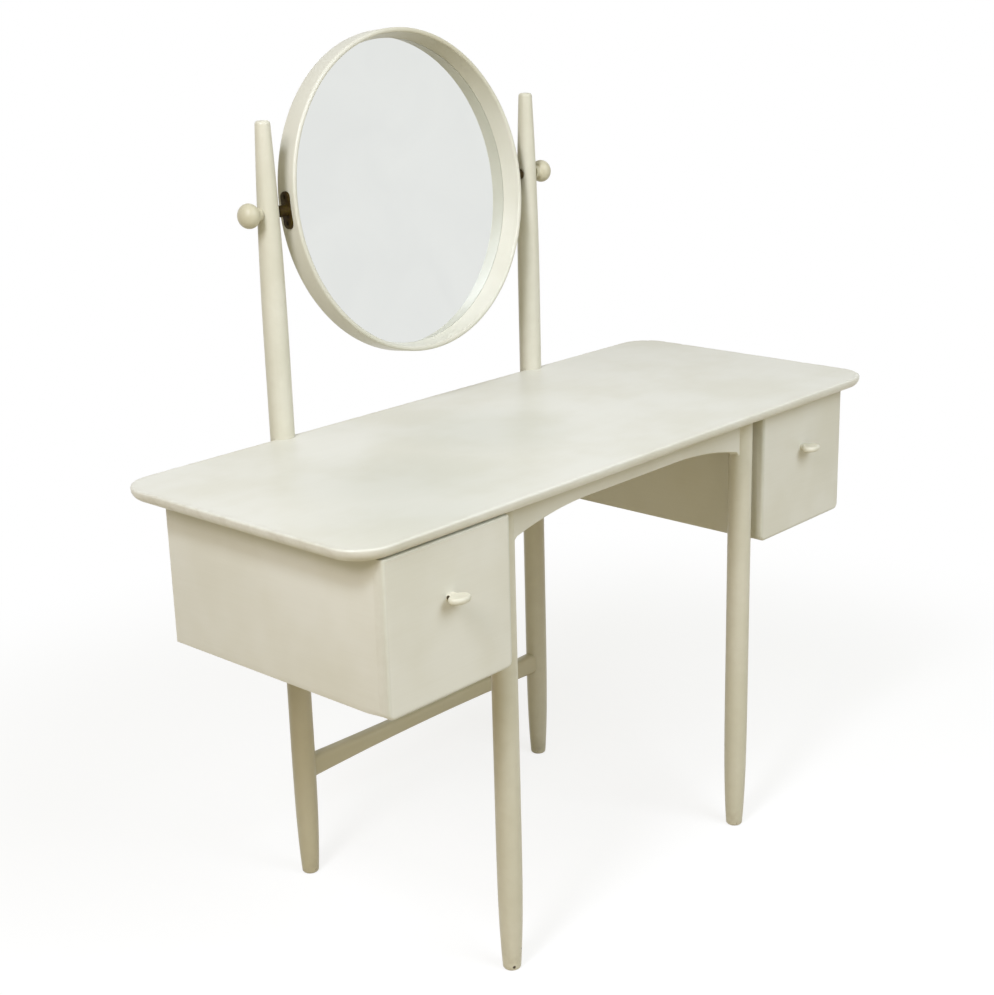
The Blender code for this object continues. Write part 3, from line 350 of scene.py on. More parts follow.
# Chemically bronzed brass: a nearly black brown with olive patches and hardly any shine.
def bronzedBrass():
    made, tree, shader = newMaterial("bronzed_brass")
    place = addNode(tree, "ShaderNodeTexCoord").outputs["Object"]
    patina = addNode(tree, "ShaderNodeTexNoise", {"Vector": place, "Scale": perMetre(7), "Detail": 4.0,
                                                  "Roughness": 0.6}).outputs["Fac"]
    share = addNode(tree, "ShaderNodeMapRange", {"Value": patina, "From Min": 0.35, "From Max": 0.68,
                                                 "To Min": 0.0, "To Max": 1.0}).outputs[0]
    colour = addNode(tree, "ShaderNodeMix", {0: share, 6: linear("2C1B0B"), 7: linear("463A10")},
                     data_type="RGBA").outputs[2]
    tree.links.new(colour, shader.inputs["Base Color"])
    shader.inputs["Metallic"].default_value = 0.35
    shader.inputs["Specular IOR Level"].default_value = 0.12
    rough = addNode(tree, "ShaderNodeMapRange", {"Value": patina, "From Min": 0.3, "From Max": 0.7,
                                                 "To Min": 0.6, "To Max": 0.45}).outputs[0]
    tree.links.new(rough, shader.inputs["Roughness"])
    bump = addNode(tree, "ShaderNodeBump", {"Height": patina, "Strength": 0.15, "Distance": 0.0002})
    tree.links.new(bump.outputs[0], shader.inputs["Normal"])
    return made


# Zinc-plated steel, barrel plated: dull silver with a faint grey cloud.
def platedSteel():
    made, tree, shader = newMaterial("zinc_plated_steel")
    place = addNode(tree, "ShaderNodeTexCoord").outputs["Object"]
    cloud = addNode(tree, "ShaderNodeTexNoise", {"Vector": place, "Scale": perMetre(3),
                                                 "Detail": 3.0}).outputs["Fac"]
    colour = addNode(tree, "ShaderNodeMix", {0: cloud, 6: linear("A9ABA8"), 7: linear("C6C6C0")},
                     data_type="RGBA").outputs[2]
    tree.links.new(colour, shader.inputs["Base Color"])
    shader.inputs["Metallic"].default_value = 1.0
    rough = addNode(tree, "ShaderNodeMapRange", {"Value": cloud, "From Min": 0.3, "From Max": 0.7,
                                                 "To Min": 0.28, "To Max": 0.42}).outputs[0]
    tree.links.new(rough, shader.inputs["Roughness"])
    return made


plywood = birchPlywood()
hardboard = pressedHardboard()
mirrorSilver = silveredGlass()
bronze = bronzedBrass()
steel = platedSteel()
print("scene: finishes ready")

# the CAD pieces that stay in view get their slot's finish; the longest side sets the strokes' direction
slotFinish = {"birch_plywood": plywood, "hardboard": hardboard, "silvered_glass": mirrorSilver,
              "dark_bronze": bronze, "zinc_steel": steel}
for part in frame["record"]["subparts"]:
    low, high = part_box(part["node"])
    reach = high - low
    strokes = {0: paintAlongX, 1: paintAlongY, 2: paintAlongZ}[max(range(3), key=lambda i: reach[i])]
    node = nodes[part["node"]]
    node.data.materials.clear()
    node.data.materials.append(slotFinish.get(part["material_slot"], strokes))


# table top: a board rounded off below, with a tight upper arris that is dented and rubbed by use
topLook = {"corner": 0.055, "arris": 0.0030, "under": 0.0146, "cornerSteps": 18, "arrisSteps": 5,
           "underSteps": 10, "flatLoop": 0.0012, "longEdge": 0.2, "step": 0.0060,
           "notch": (0.69, 0.73), "notchFacets": 64,
           "dent": 0.0006, "dentSpacing": 0.009, "dentBand": 0.002, "dentFade": 0.007, "dentShare": 0.15,
           "worn": 0.008, "wear": 0.45, "frontWear": 0.10, "face": 0.001,
           # middle in X and Y, radius and share of each place of painted shade
           "dull": ((-0.08, 0.02, 0.18, 0.24), (-0.33, -0.08, 0.20, 0.24), (-0.43, -0.20, 0.18, 0.20))}


def buildTableTop(look):
    low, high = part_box("table_top")
    size, middle = high - low, (low + high) / 2
    bm = blockOf(size.x, size.y, size.z, middle)
    bevelEdges(bm, [e for e in bm.edges if spanOf(e, 2) > tiny], look["corner"], look["cornerSteps"])
    bevelEdges(bm, [e for e in bm.edges if all(v.co.z > middle.z for v in e.verts)],
               look["arris"], look["arrisSteps"])
    bevelEdges(bm, [e for e in bm.edges if all(v.co.z < low.z + tiny for v in e.verts)],
               look["under"], look["underSteps"])
    # two loops inside the upper face: the first keeps the flat flat, the second ends the wear
    upper = [f for f in bm.faces if f.normal.z > squareOn]
    for loop in (look["flatLoop"], look["worn"]):
        bmesh.ops.inset_region(bm, faces=upper, thickness=loop, use_even_offset=True)
    for axis in (0, 1):
        runs = [e for e in bm.edges if spanOf(e, axis) > look["longEdge"]]
        cuts = int(runs[0].calc_length() / look["step"])
        bmesh.ops.subdivide_edges(bm, edges=runs, cuts=cuts, use_grid_fill=True)

    def inward(co):  # distance inside the outline
        dx = abs(co.x - middle.x) - (size.x / 2 - look["corner"])
        dy = abs(co.y - middle.y) - (size.y / 2 - look["corner"])
        outside = math.hypot(max(dx, 0), max(dy, 0))
        return look["corner"] - outside - min(max(dx, dy), 0)

    bm.normal_update()
    for vert in bm.verts:
        depth = inward(vert.co)
        rise = vert.co.z - middle.z + look["dentBand"]
        if rise > 0 and depth < look["arris"] + look["dentBand"]:
            spot = vert.co / look["dentSpacing"]
            knock = noise.noise(spot) + 0.5 * noise.noise(spot * 2.3)
            share = clamp(rise / look["dentFade"])
            vert.co -= vert.normal * look["dent"] * share * max(0.0, knock + look["dentShare"])

    def wear(co):
        share = 1.0
        if co.z > high.z - look["face"]:
            share = max(0.0, 1 - max(0.0, inward(co) - look["arris"]) / look["worn"])
        # the front edge is wiped clean more often than the others
        ahead = clamp((low.y + look["corner"] - co.y) / look["corner"])
        return share * (look["wear"] + (look["frontWear"] - look["wear"]) * ahead)

    def shade(co):  # painted shade: darker, greyer places on the upper face
        if co.z < high.z - look["face"]:
            return 0.0
        return max(share * max(0.0, 1 - ((co.x - x) ** 2 + (co.y - y) ** 2) / radius ** 2) ** 1.5
                   for x, y, radius, share in look["dull"])

    notches = []
    bottom, top = look["notch"]
    reach = legLook["radius"] + hairGap
    for word in dict(sides):
        postLow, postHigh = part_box(f"rear_{word}_leg")
        notch = turnProfile([(0, bottom), (reach, bottom), (reach, top), (0, top)], look["notchFacets"])
        postX, postY = (postLow.x + postHigh.x) / 2, (postLow.y + postHigh.y) / 2
        bmesh.ops.translate(notch, vec=(postX, postY, 0), verts=notch.verts)
        notches.append(notch)
    makePiece("tableTopBoard", bm, "table", "ivory_paint", paintAlongX, ["table_top"], sharpAngle=30,
              wear=wear, cutters=notches, shade=shade)


# legs: round, straight down to a tapered foot; the rear pair runs on as tapered mirror posts
legLook = {"radius": 0.0183, "foot": 0.0130, "footRound": 0.004, "taper": 0.250, "power": 3.5, "facets": 56,
           "taperRings": (0.03, 0.06, 0.1, 0.15, 0.2, 0.27, 0.35, 0.45, 0.57, 0.7, 0.85, 1.0),
           "underside": 0.702, "postTop": 1.178, "postTaper": 0.318, "tip": 0.0108, "tipRound": 0.005,
           "middle": 0.4, "postNotch": 0.69, "postRings": 16, "roundSteps": 6,
           "scuff": 0.045, "leastWear": 0.12, "shadeHeight": 0.60,
           "shade": {"leftFrontLeg": 0.12, "rightFrontLeg": 0.12,
                     "leftMirrorPost": 0.55, "rightMirrorPost": 0.12}}


def legRadius(height):
    share = min(height / legLook["taper"], 1.0)
    return legLook["foot"] + (legLook["radius"] - legLook["foot"]) * (1 - (1 - share) ** legLook["power"])


def postRadius(height):
    share = max((height - legLook["postTop"] + legLook["postTaper"]) / legLook["postTaper"], 0.0)
    return legLook["radius"] - (legLook["radius"] - legLook["tip"]) * share ** 2


def buildLegs(look):
    soft, tip, steps = look["footRound"], look["tipRound"], look["roundSteps"]
    foot = [(0, 0)] + arc(legRadius(soft) - soft, soft, soft, -90, 0, steps)
    foot += [(legRadius(look["taper"] * s), look["taper"] * s) for s in look["taperRings"]]
    foot.append((look["radius"], look["middle"]))
    frontTop = look["underside"] - hairGap
    frontLeg = foot + [(look["radius"], frontTop), (0, frontTop)]
    tipStart = look["postTop"] - tip
    taperStart = look["postTop"] - look["postTaper"]
    rings = look["postRings"]
    heights = [taperStart + (tipStart - taperStart) * i / rings for i in range(rings + 1)]
    post = foot + [(look["radius"], look["postNotch"])] + [(postRadius(h), h) for h in heights]
    post += arc(postRadius(tipStart) - tip, tipStart, tip, 0, 90, steps)[1:]
    post.append((0, look["postTop"]))
    wear = lambda co: max(look["leastWear"], 1 - co.z / look["scuff"])
    for word in dict(sides):
        for row, profile in (("front", frontLeg), ("rear", post)):
            low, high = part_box(f"{row}_{word}_leg")
            bm = turnProfile(profile, look["facets"])
            bmesh.ops.translate(bm, vec=((low.x + high.x) / 2, (low.y + high.y) / 2, 0), verts=bm.verts)
            name = f"{word}FrontLeg" if row == "front" else f"{word}MirrorPost"
            # painted shade: each leg is darker and yellower towards the floor, the left mirror post's leg
            # most
            deepest = look["shade"][name]
            shade = lambda co: deepest * clamp(2 - 2 * co.z / look["shadeHeight"])
            makePiece(name, bm, "table", "ivory_paint", turnedAlongZ, [f"{row}_{word}_leg"],
                      wear=wear, shade=shade)


# apron and stretcher: boards sawn to a curve, with softened edges
boardEnd = 0.004  # from a leg's axis to the board's end inside the leg
apronLook = {"thickness": 0.018, "middleHeight": 0.0332, "straight": 0.100, "archRadius": 0.592,
             "fillet": 0.009, "edge": 0.0025, "segments": 140}
stretcherLook = {"thickness": 0.022, "low": 0.1678, "high": 0.1940, "lowSweep": 0.0065,
                 "highSweep": 0.0050, "edge": 0.0080, "segments": 48, "shade": 0.55}


def curvedBoard(name, node, finish, shade, reach, middleY, look, lower, upper):
    bm = bmesh.new()
    bmesh.ops.create_grid(bm, x_segments=look["segments"], y_segments=1, size=0.5)
    for vert in bm.verts:
        x = 2 * reach * vert.co.x
        vert.co = (x, middleY - look["thickness"] / 2, upper(abs(x)) if vert.co.y > 0 else lower(abs(x)))
    pushFaces(bm, list(bm.faces), look["thickness"])
    arrises = [e for e in bm.edges if len({abs(f.normal.y) > 0.9 for f in e.link_faces}) == 2
               and all(abs(f.normal.x) < squareOn for f in e.link_faces)]
    bevelEdges(bm, arrises, look["edge"], 6)
    makePiece(name, bm, "table", "ivory_paint", finish, [node], sharpAngle=35, shade=shade)


def buildBoards():
    low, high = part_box("front_left_leg")
    legX, legY = abs(low.x + high.x) / 2, (low.y + high.y) / 2
    reach = legX - boardEnd
    look = apronLook
    filletStart = legX - legLook["radius"] - look["fillet"]
    level = legLook["underside"] - look["middleHeight"]

    def apronLower(x):
        drop = max(min(x, filletStart) - look["straight"], 0) ** 2 / (2 * look["archRadius"])
        past = min(max(x - filletStart, 0), look["fillet"])
        return level - drop - look["fillet"] + math.sqrt(look["fillet"] ** 2 - past ** 2)

    curvedBoard("archedApron", "front_apron", paintAlongX, None, reach, legY, look, apronLower,
                lambda x: legLook["underside"] - hairGap)
    low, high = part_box("rear_left_leg")
    postY = (low.y + high.y) / 2
    bar = stretcherLook
    # painted shade: the stretcher is darker and yellower all over
    curvedBoard("rearStretcherBar", "rear_stretcher", turnedAlongX, lambda co: bar["shade"], reach,
                postY, bar,
                lambda x: bar["low"] - bar["lowSweep"] * (x / legX) ** 2,
                lambda x: bar["high"] + bar["highSweep"] * (x / legX) ** 2)


# drawers: rounded front, grooved sides that hang on the runners, oval pull
drawerLook = {"frontCorner": 0.0105, "frontSink": 0.0018, "frontRound": 0.0042, "topRound": 0.0015,
              "cornerSteps": 8, "frontSteps": 5, "topSteps": 3, "loops": (0.0015, 0.0030),
              "wear": 0.16, "wearReach": 0.03, "cornerShade": 0.60, "cornerShadeReach": 0.0055,
              "sideThickness": 0.012, "sideEdge": 0.0010, "sideSteps": 3, "ease": 0.022,
              "capHeight": 0.0197, "webHeight": 0.020, "tongue": 0.006, "runnerGroove": 0.0065,
              "panelGroove": 0.006, "panelRise": 0.0085, "panelThickness": 0.005, "slide": 0.0005}
pullLook = {"width": 0.034, "reach": 0.028, "blade": 0.024, "neck": 0.016, "thickness": 0.009,
            "seat": -0.0004, "lip": 0.0040, "lipSteps": 6, "rim": 0.0022, "flat": 0.00088, "dish": 0.0005,
            "steps": 40}


def buildDrawerFront(word):
    low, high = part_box(f"{word}_drawer_front")
    size, middle = high - low, (low + high) / 2
    look = drawerLook
    bm = blockOf(size.x, size.y, size.z, middle)
    # the front hangs a little lower than the sides
    lowest = [v for v in bm.verts if v.co.z < middle.z]
    bmesh.ops.translate(bm, vec=(0, 0, -look["frontSink"]), verts=lowest)
    corners = [e for e in bm.edges if all(v in lowest for v in e.verts) and spanOf(e, 1) > tiny]
    bevelEdges(bm, corners, look["frontCorner"], look["cornerSteps"])
    ahead = [e for e in bm.edges if all(v.co.y < middle.y for v in e.verts)]
    ahead = [e for e in ahead if any(v.co.z < middle.z for v in e.verts)]
    bevelEdges(bm, ahead, look["frontRound"], look["frontSteps"])
    upper = [e for e in bm.edges
             if all(v.co.y < middle.y and v.co.z > high.z - tiny for v in e.verts)]
    bevelEdges(bm, upper, look["topRound"], look["topSteps"])
    face = [f for f in bm.faces if f.normal.y < -squareOn]
    for loop in look["loops"]:
        bmesh.ops.inset_region(bm, faces=face, thickness=loop, use_even_offset=True)

    def wear(co):
        edge = min(co.x - low.x, high.x - co.x, co.z - low.z, high.z - co.z)
        return max(0.0, look["wear"] - edge / look["wearReach"])

    def shade(co):  # painted shade on the rounded corners
        edge = min(co.x - low.x, high.x - co.x, co.z - low.z + look["frontSink"])
        outer, ahead = (max(0.0, 1 - reach / look["cornerShadeReach"]) for reach in (edge, co.y - low.y))
        return look["cornerShade"] * outer * ahead

    makePiece(f"{word}DrawerFront", bm, f"{word}_drawer", "ivory_paint", paintAlongX,
              [f"{word}_drawer_front"], sharpAngle=35, wear=wear, shade=shade)
    return low, high


def buildDrawerSides(word, side, low, high):
    look = drawerLook
    rear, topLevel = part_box(f"{word}_drawer_outer_side")[1].yz
    webBottom = legLook["underside"] - hairGap - look["capHeight"] - look["webHeight"]
    panelLow = low.z + look["panelRise"]
    panelHigh = panelLow + look["panelThickness"]
    grooves = ((panelLow - hairGap, panelHigh + hairGap, look["panelGroove"]),
               (webBottom - look["slide"], webBottom + look["tongue"] + hairGap, look["runnerGroove"]))
    middleX = (low.x + high.x) / 2
    half = (high.x - low.x) / 2
    for edge, outward in (("outer", side), ("inner", -side)):
        inner, outer = half - look["sideThickness"], half
        outline = [(outer, low.z), (outer, topLevel), (inner, topLevel)]
        for bottom, top, depth in reversed(grooves):
            outline += [(inner, top), (inner + depth, top), (inner + depth, bottom), (inner, bottom)]
        outline.append((inner, low.z))
        bm = extrudeOutline([(middleX + outward * x, z) for x, z in outline], rear - high.y)
        bmesh.ops.translate(bm, vec=(0, high.y, 0), verts=bm.verts)
        corners = [e for e in bm.edges if spanOf(e, 1) > tiny
                   and abs(abs(e.verts[0].co.x - middleX) - outer) < tiny]
        corners += [e for e in bm.edges if all(v.co.y > rear - tiny for v in e.verts)
                    and all(abs(abs(v.co.x - middleX) - outer) < tiny for v in e.verts)]
        bevelEdges(bm, corners, look["sideEdge"], look["sideSteps"])
        # near the front the lower corner eases into the front's rounded one
        radius = look["frontCorner"]
        bend = low.z + radius - look["frontSink"]
        cutLoop(bm, (0, 0, bend), (0, 0, 1))
        cutLoop(bm, (0, high.y + look["ease"], 0), (0, 1, 0))
        for v in bm.verts:
            drop = min(radius, max(0.0, bend - v.co.z))
            limit = outer - radius + math.sqrt(radius ** 2 - drop ** 2)
            if v.co.y < high.y + tiny and abs(v.co.x - middleX) > limit:
                v.co.x = middleX + outward * limit
        node = f"{word}_drawer_{edge}_side"
        name = f"{word}Drawer{edge.capitalize()}Side"
        makePiece(name, bm, f"{word}_drawer", "ivory_paint", paintAlongY, [node], sharpAngle=35)


def buildPull(word):
    look = pullLook
    low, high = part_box(f"{word}_drawer_pull")
    middle = (low + high) / 2
    centre = look["reach"] - look["blade"] / 2
    start = math.acos(look["neck"] / look["width"])
    outline = [(look["neck"] / 2, look["seat"])]
    for i in range(look["steps"] + 1):
        angle = -start + (math.pi + 2 * start) * i / look["steps"]
        outline.append((look["width"] / 2 * math.cos(angle), centre + look["blade"] / 2 * math.sin(angle)))
    outline.append((-look["neck"] / 2, look["seat"]))
    bm = extrudeOutline(outline, look["thickness"])
    rims = [e for e in bm.edges if spanOf(e, 1) < tiny
            and any(abs(v.co.z - look["seat"]) > tiny for v in e.verts)]
    bevelEdges(bm, rims, look["lip"], look["lipSteps"])
    # a shallow dish for the fingertip, on the face that ends up on top
    face = max((f for f in bm.faces if f.normal.y > squareOn), key=lambda f: f.calc_area())
    for loop, depth in ((look["flat"], 0.0), (look["rim"], -look["dish"])):
        bmesh.ops.inset_region(bm, faces=[face], thickness=loop, depth=depth, use_even_offset=True)
    # the outline stands in X and Z: lay it down so that Z points out of the drawer front
    turn = Matrix(((1, 0, 0), (0, 0, -1), (0, 1, 0))).to_4x4()
    place = Matrix.Translation((middle.x, high.y + hairGap, middle.z - look["thickness"] / 2))
    bmesh.ops.transform(bm, matrix=place @ turn, verts=bm.verts)
    bmesh.ops.recalc_face_normals(bm, faces=bm.faces)
    makePiece(f"{word}DrawerPull", bm, f"{word}_drawer", "ivory_paint", turnedAlongX,
              [f"{word}_drawer_pull"], sharpAngle=50)


# mirror: deep bent hoop that thins towards its rounded front edge, silvered glass far back in it
mirrorLook = {"tilt": -6.74, "pivotZ": 1.0488, "radius": 0.2438, "depth": 0.0372, "ahead": 0.0190,
              "thickness": 0.0128, "frontThickness": 0.0076, "frontRound": 0.0036, "frontSteps": 8,
              "rearRound": 0.003, "rearSteps": 5, "rebate": 0.005, "rebateEdge": 0.0008,
              "recess": 0.0300, "glass": 0.0030, "glassArris": 0.0010, "glassPlay": 0.0005,
              "facets": 160, "dull": 0.75, "shadeFrom": 0.42, "shadeSpread": 1.6}


def mirrorPlace(local):
    low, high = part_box("rear_left_leg")
    pivot = Matrix.Translation((0, (low.y + high.y) / 2, mirrorLook["pivotZ"]))
    return pivot @ Matrix.Rotation(math.radians(mirrorLook["tilt"]), 4, "X") @ local


def buildMirror(look):
    turn = Matrix.Rotation(math.radians(-90), 4, "X")
    facing = mirrorPlace(Matrix.Translation((0, -look["ahead"], 0)) @ turn)
    outer, inner = look["radius"], look["radius"] - look["thickness"]
    rebate = inner + look["rebate"]
    soft, rear = look["frontRound"], look["rearRound"]
    lip = outer - look["frontThickness"]
    chamfer, steps = look["rebateEdge"], look["frontSteps"]
    hoop = arc(lip + soft, soft, soft, 180, 270, steps) + arc(outer - soft, soft, soft, 270, 360, steps)
    hoop += arc(outer - rear, look["depth"] - rear, rear, 0, 90, look["rearSteps"])
    hoop += [(rebate + chamfer, look["depth"]), (rebate, look["depth"] - chamfer),
             (rebate, look["recess"]), (inner, look["recess"])]
    bm = turnProfile(hoop, look["facets"], closed=True)
    bmesh.ops.transform(bm, matrix=facing, verts=bm.verts)

    def shade(co):  # painted shade: the hoop is darker and yellower towards its upper right
        rise = max(0.0, (co.z - look["pivotZ"]) / outer - look["shadeFrom"])
        return look["dull"] * rise * clamp(0.5 + look["shadeSpread"] * co.x / outer)

    makePiece("mirrorHoop", bm, "mirror", "ivory_paint", hoopPaint, ["mirror_rim"], sharpAngle=35,
              shade=shade)

    front = look["recess"] + hairGap
    back = front + look["glass"]
    edge, arris = rebate - look["glassPlay"], look["glassArris"]
    disc = [(0, front), (edge - arris, front), (edge, front + arris), (edge, back), (0, back)]
    bm = turnProfile(disc, look["facets"])
    bmesh.ops.transform(bm, matrix=facing, verts=bm.verts)
    makePiece("mirrorGlass", bm, "mirror", "silvered_glass", mirrorSilver, ["mirror_glass"],
              sharpAngle=25)


# pivots: obround bronzed plates with a boss on the hoop, and turned ball knobs outside the posts
pivotLook = {"length": 0.054, "width": 0.0185, "thickness": 0.0035, "edge": 0.0008, "edgeSteps": 3,
             "endShare": 0.4995, "endSteps": 12, "boss": 0.0084, "bossEdge": 0.0005,
             "bossFillet": 0.001, "filletSteps": 4, "facets": 40}
knobLook = {"radius": 0.0180, "halfLength": 0.0150, "neck": 0.0100, "neckLength": 0.0070,
            "neckEdge": 0.0006, "fillet": 0.0025, "filletSteps": 5, "ballSteps": 24, "facets": 56,
            "shade": 0.42}


def buildPivots(look):
    legX = abs(sum(c.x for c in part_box("rear_left_leg"))) / 2
    flat = math.sqrt(mirrorLook["radius"] ** 2 - (look["length"] / 2) ** 2)
    low = flat + hairGap
    high = low + look["thickness"]
    bossHigh = legX - postRadius(mirrorLook["pivotZ"] - look["boss"]) - hairGap
    for word, side in sides:
        bm = blockOf(look["thickness"], look["width"], look["length"], (side * (low + high) / 2, 0, 0))
        ends = [e for e in bm.edges if spanOf(e, 0) > tiny]
        bevelEdges(bm, ends, look["width"] * look["endShare"], look["endSteps"])
        rim = [e for e in bm.edges if all(abs(abs(v.co.x) - high) < tiny for v in e.verts)]
        bevelEdges(bm, rim, look["edge"], look["edgeSteps"])
        bmesh.ops.transform(bm, matrix=mirrorPlace(Matrix()), verts=bm.verts)
        bmesh.ops.recalc_face_normals(bm, faces=bm.faces)
        makePiece(f"{word}PivotPlate", bm, "mirror", "dark_bronze", bronze, [f"{word}_pivot_plate"],
                  sharpAngle=35)
        radius, edge, fillet = look["boss"], look["bossEdge"], look["bossFillet"]
        boss = [(0, high - fillet), (radius + fillet, high - fillet)]
        boss += arc(radius + fillet, high + fillet, fillet, 270, 180, look["filletSteps"])
        boss += [(radius, bossHigh - edge), (radius - edge, bossHigh), (0, bossHigh)]
        bm = turnProfile(boss, look["facets"])
        turn = mirrorPlace(Matrix.Rotation(math.radians(90 * side), 4, "Y"))
        bmesh.ops.transform(bm, matrix=turn, verts=bm.verts)
        makePiece(f"{word}PivotBoss", bm, "mirror", "dark_bronze", bronze, sharpAngle=35)


def buildKnobs(look):
    legX = abs(sum(c.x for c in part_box("rear_left_leg"))) / 2
    postY = sum(c.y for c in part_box("rear_left_leg")) / 2
    radius, neck, fillet, edge = (look[k] for k in ("radius", "neck", "fillet", "neckEdge"))
    start = legX + postRadius(mirrorLook["pivotZ"] - neck) + hairGap
    flat = look["halfLength"] / radius
    ball = start + look["neckLength"] + flat * math.sqrt(radius ** 2 - neck ** 2)
    # a small hollow runs from the neck into the flattened ball
    opening = math.asin((neck + fillet) / radius)
    foot = ball - flat * radius * math.cos(opening)
    bends = [math.pi / 2 * i / look["filletSteps"] for i in range(look["filletSteps"] + 1)]
    turns = [opening + (math.pi - opening) * i / look["ballSteps"] for i in range(1, look["ballSteps"])]
    profile = [(0, start), (neck - edge, start), (neck, start + edge)]
    profile += [(neck + fillet * (1 - math.cos(a)), foot - fillet * (1 - math.sin(a))) for a in bends]
    profile += [(radius * math.sin(a), ball - flat * radius * math.cos(a)) for a in turns]
    profile.append((0, ball + look["halfLength"]))
    place = Matrix.Translation((0, postY, mirrorLook["pivotZ"]))
    for word, side in sides:
        bm = turnProfile(profile, look["facets"])
        turn = Matrix.Rotation(math.radians(90 * side), 4, "Y")
        bmesh.ops.transform(bm, matrix=place @ turn, verts=bm.verts)
        # painted shade: the knobs are darker and yellower all over
        makePiece(f"{word}BallKnob", bm, f"{word}_knob", "ivory_paint", turnedAlongX, [f"{word}_knob"],
                  shade=lambda co: look["shade"])


# slotted countersunk screws, seated where the CAD ones are; a gauge is head radius, head height, shank radius
screwLook = {"wood": (0.0036, 0.0022, 0.0018), "plate": (0.0030, 0.0018, 0.0013), "headEdge": 0.0003,
             "slot": 0.0004, "slotDepth": 0.0007, "facets": 28}


def buildScrew(node, body, slotName, finish, gauge, towards):
    head, headHeight, shank = screwLook[gauge]
    low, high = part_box(node)
    length = max(high - low) - headHeight
    edge, slot = screwLook["headEdge"], screwLook["slot"]
    profile = [(0, -headHeight), (head - edge, -headHeight), (head, -headHeight + edge),
               (head, -headHeight / 2), (shank, 0), (shank, length - 2 * shank), (0, length)]
    bm = turnProfile(profile, screwLook["facets"])
    for offset in (-slot, slot):
        cutLoop(bm, (0, offset, 0), (0, 1, 0))
    strip = [f for f in bm.faces if f.normal.z < -0.99 and abs(f.calc_center_median().y) < slot]
    bmesh.ops.inset_region(bm, faces=strip, thickness=0.0, depth=-screwLook["slotDepth"])
    towards = Vector(towards)
    start = (low + high) / 2 - towards * (length - headHeight) / 2
    turn = towards.to_track_quat("Z", "Y").to_matrix().to_4x4()
    bmesh.ops.transform(bm, matrix=Matrix.Translation(start) @ turn, verts=bm.verts)
    words = node.split("_")
    name = words[0] + "".join(w.capitalize() for w in words[1:])
    makePiece(name, bm, body, slotName, finish, [node], sharpAngle=30)


def buildScrews():
    plated, bronzed = ("zinc_steel", steel, "wood"), ("dark_bronze", bronze, "plate")
    up, ahead = (0, 0, 1), (0, -1, 0)
    for word, side in sides:
        for end in ("front", "rear"):
            for edge in ("outer", "inner"):
                buildScrew(f"{word}_{edge}_runner_screw_{end}", "table", *plated, up)
            buildScrew(f"{word}_rail_screw_{end}", "table", *plated, up)
        buildScrew(f"{word}_post_screw", "table", *plated, ahead)
        buildScrew(f"{word}_pull_screw", f"{word}_drawer", *plated, ahead)
        for end in ("lower", "upper"):
            buildScrew(f"{word}_plate_screw_{end}", "mirror", *bronzed, (-side, 0, 0))


buildTableTop(topLook)
buildLegs(legLook)
buildBoards()
print("scene: table ready")
for word, side in sides:
    low, high = buildDrawerFront(word)
    buildDrawerSides(word, side, low, high)
    buildPull(word)
print("scene: drawers ready")
buildMirror(mirrorLook)
buildPivots(pivotLook)
buildKnobs(knobLook)
buildScrews()
print("scene: mirror, pivots and screws ready")


# camera, floor and light
cameraLook = {"lens": 61.615, "sensor": 36.0, "place": (-1.8613, -1.6458, 1.3715),
              "yaw": 47.504, "pitch": -17.227, "roll": -1.532}


def placeCamera(look):
    lens = bpy.data.cameras.new("camera")
    lens.lens = look["lens"]
    lens.sensor_width = look["sensor"]
    camera = bpy.data.objects.new("camera", lens)
    scene.collection.objects.link(camera)
    yaw, pitch, roll = (math.radians(look[k]) for k in ("yaw", "pitch", "roll"))
    ahead = Vector((math.sin(yaw) * math.cos(pitch), math.cos(yaw) * math.cos(pitch), math.sin(pitch)))
    right = Vector((math.cos(yaw), -math.sin(yaw), 0))
    up = right.cross(ahead)
    rolledRight = right * math.cos(roll) + up * math.sin(roll)
    rolledUp = up * math.cos(roll) - right * math.sin(roll)
    turn = Matrix((rolledRight, rolledUp, -ahead)).transposed().to_4x4()
    camera.matrix_world = Matrix.Translation(look["place"]) @ turn
    scene.camera = camera


placeCamera(cameraLook)

studio = {
    "floorSide": 14.0, "floorLevel": -0.0004, "floorBounce": "C6B999", "floorShade": 0.26,
    "floorGlow": 0.80, "shadowReach": (0.9, 1.7),
    "skyTint": "FFF8CC", "skyLow": 0.27, "skyHigh": 0.25, "lamps": {
        "leftBox": {"place": (-3.2, -0.9, 2.85), "size": 1.1, "watts": 42, "tint": "FEF9FF"},
        "highBox": {"place": (-2.4, -0.7, 3.3), "size": 0.7, "watts": 47, "tint": "EAF1FF"},
        "frontBox": {"place": (0.1, -2.9, 3.0), "size": 2.6, "watts": 82, "tint": "E9F1FF"}},
    "aim": (0, 0, 0.65),
}


def seenShare(tree):
    # 1 where the camera looks straight at it, or through gloss or glass; 0 where it only lights the object
    path = addNode(tree, "ShaderNodeLightPath")
    seen = path.outputs["Is Camera Ray"]
    for ray in ("Is Glossy Ray", "Is Transmission Ray"):
        seen = addNode(tree, "ShaderNodeMath", {0: seen, 1: path.outputs[ray]},
                       operation="MAXIMUM").outputs[0]
    return addNode(tree, "ShaderNodeMath", {0: seen, 1: path.outputs["Diffuse Depth"]}, operation="SUBTRACT",
                   use_clamp=True).outputs[0]


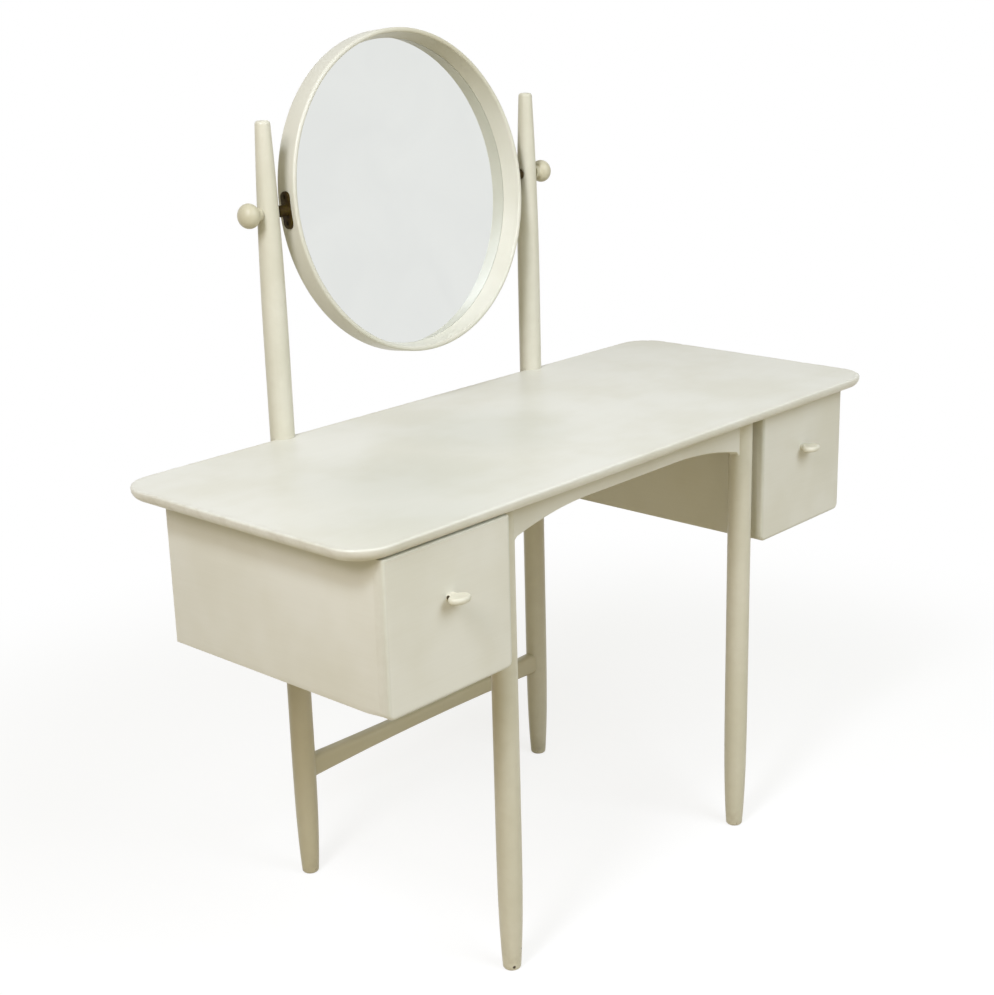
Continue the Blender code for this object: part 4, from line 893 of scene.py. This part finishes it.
def makeStudio(look):
    world = bpy.data.worlds.new("studio")
    scene.world = world
    world.use_nodes = True
    tree = world.node_tree
    tree.nodes.clear()
    seen = seenShare(tree)
    place = addNode(tree, "ShaderNodeTexCoord").outputs["Generated"]
    height = addNode(tree, "ShaderNodeSeparateXYZ", {0: place})
    level = addNode(tree, "ShaderNodeMapRange", {"Value": height.outputs["Z"], "To Min": look["skyLow"],
                                                 "To Max": look["skyHigh"]}).outputs[0]
    soft = addNode(tree, "ShaderNodeBackground", {"Color": linear(look["skyTint"]), "Strength": level})
    white = addNode(tree, "ShaderNodeBackground", {"Color": (1, 1, 1, 1), "Strength": 1.0})
    mixed = addNode(tree, "ShaderNodeMixShader", {0: seen, 1: soft.outputs[0], 2: white.outputs[0]})
    addNode(tree, "ShaderNodeOutputWorld", {"Surface": mixed.outputs[0]})

    bm = bmesh.new()
    bmesh.ops.create_grid(bm, x_segments=1, y_segments=1, size=look["floorSide"] / 2)
    bmesh.ops.translate(bm, vec=(0, 0, look["floorLevel"]), verts=bm.verts)
    mesh = bpy.data.meshes.new("floor")
    bm.to_mesh(mesh)
    bm.free()
    floor = bpy.data.objects.new("floor", mesh)
    scene.collection.objects.link(floor)

    # matt white paper: lights the object from below, and reads as white with a faint shadow
    paper = bpy.data.materials.new("matt_white_paper")
    paper.use_nodes = True
    tree = paper.node_tree
    tree.nodes.clear()
    seen = seenShare(tree)
    bounce = addNode(tree, "ShaderNodeBsdfDiffuse", {"Color": linear(look["floorBounce"])})
    shade = addNode(tree, "ShaderNodeBsdfDiffuse", {"Color": (look["floorShade"],) * 3 + (1,)})
    glow = addNode(tree, "ShaderNodeEmission", {"Color": (1, 1, 1, 1), "Strength": look["floorGlow"]})
    shown = addNode(tree, "ShaderNodeAddShader", {0: shade.outputs[0], 1: glow.outputs[0]})
    place = addNode(tree, "ShaderNodeTexCoord").outputs["Object"]
    distance = addNode(tree, "ShaderNodeVectorMath", {0: place}, operation="LENGTH").outputs["Value"]
    near, far = look["shadowReach"]
    beyond = addNode(tree, "ShaderNodeMapRange", {"Value": distance, "From Min": near, "From Max": far},
                     interpolation_type="SMOOTHSTEP").outputs[0]
    white = addNode(tree, "ShaderNodeEmission", {"Color": (1, 1, 1, 1), "Strength": 1.0})
    shown = addNode(tree, "ShaderNodeMixShader", {0: beyond, 1: shown.outputs[0], 2: white.outputs[0]})
    mixed = addNode(tree, "ShaderNodeMixShader", {0: seen, 1: bounce.outputs[0], 2: shown.outputs[0]})
    addNode(tree, "ShaderNodeOutputMaterial", {"Surface": mixed.outputs[0]})
    mesh.materials.append(paper)

    for name, box in look["lamps"].items():
        lamp = bpy.data.lights.new(name, "AREA")
        lamp.shape = "DISK"
        lamp.size = box["size"]
        lamp.energy = box["watts"]
        lamp.color = linear(box["tint"])[:3]
        shining = bpy.data.objects.new(name, lamp)
        scene.collection.objects.link(shining)
        aim = Vector(look["aim"]) - Vector(box["place"])
        turn = aim.to_track_quat("-Z", "Y").to_matrix().to_4x4()
        shining.matrix_world = Matrix.Translation(box["place"]) @ turn
        shining.visible_camera = False


makeStudio(studio)
print("scene: camera, floor and light ready")
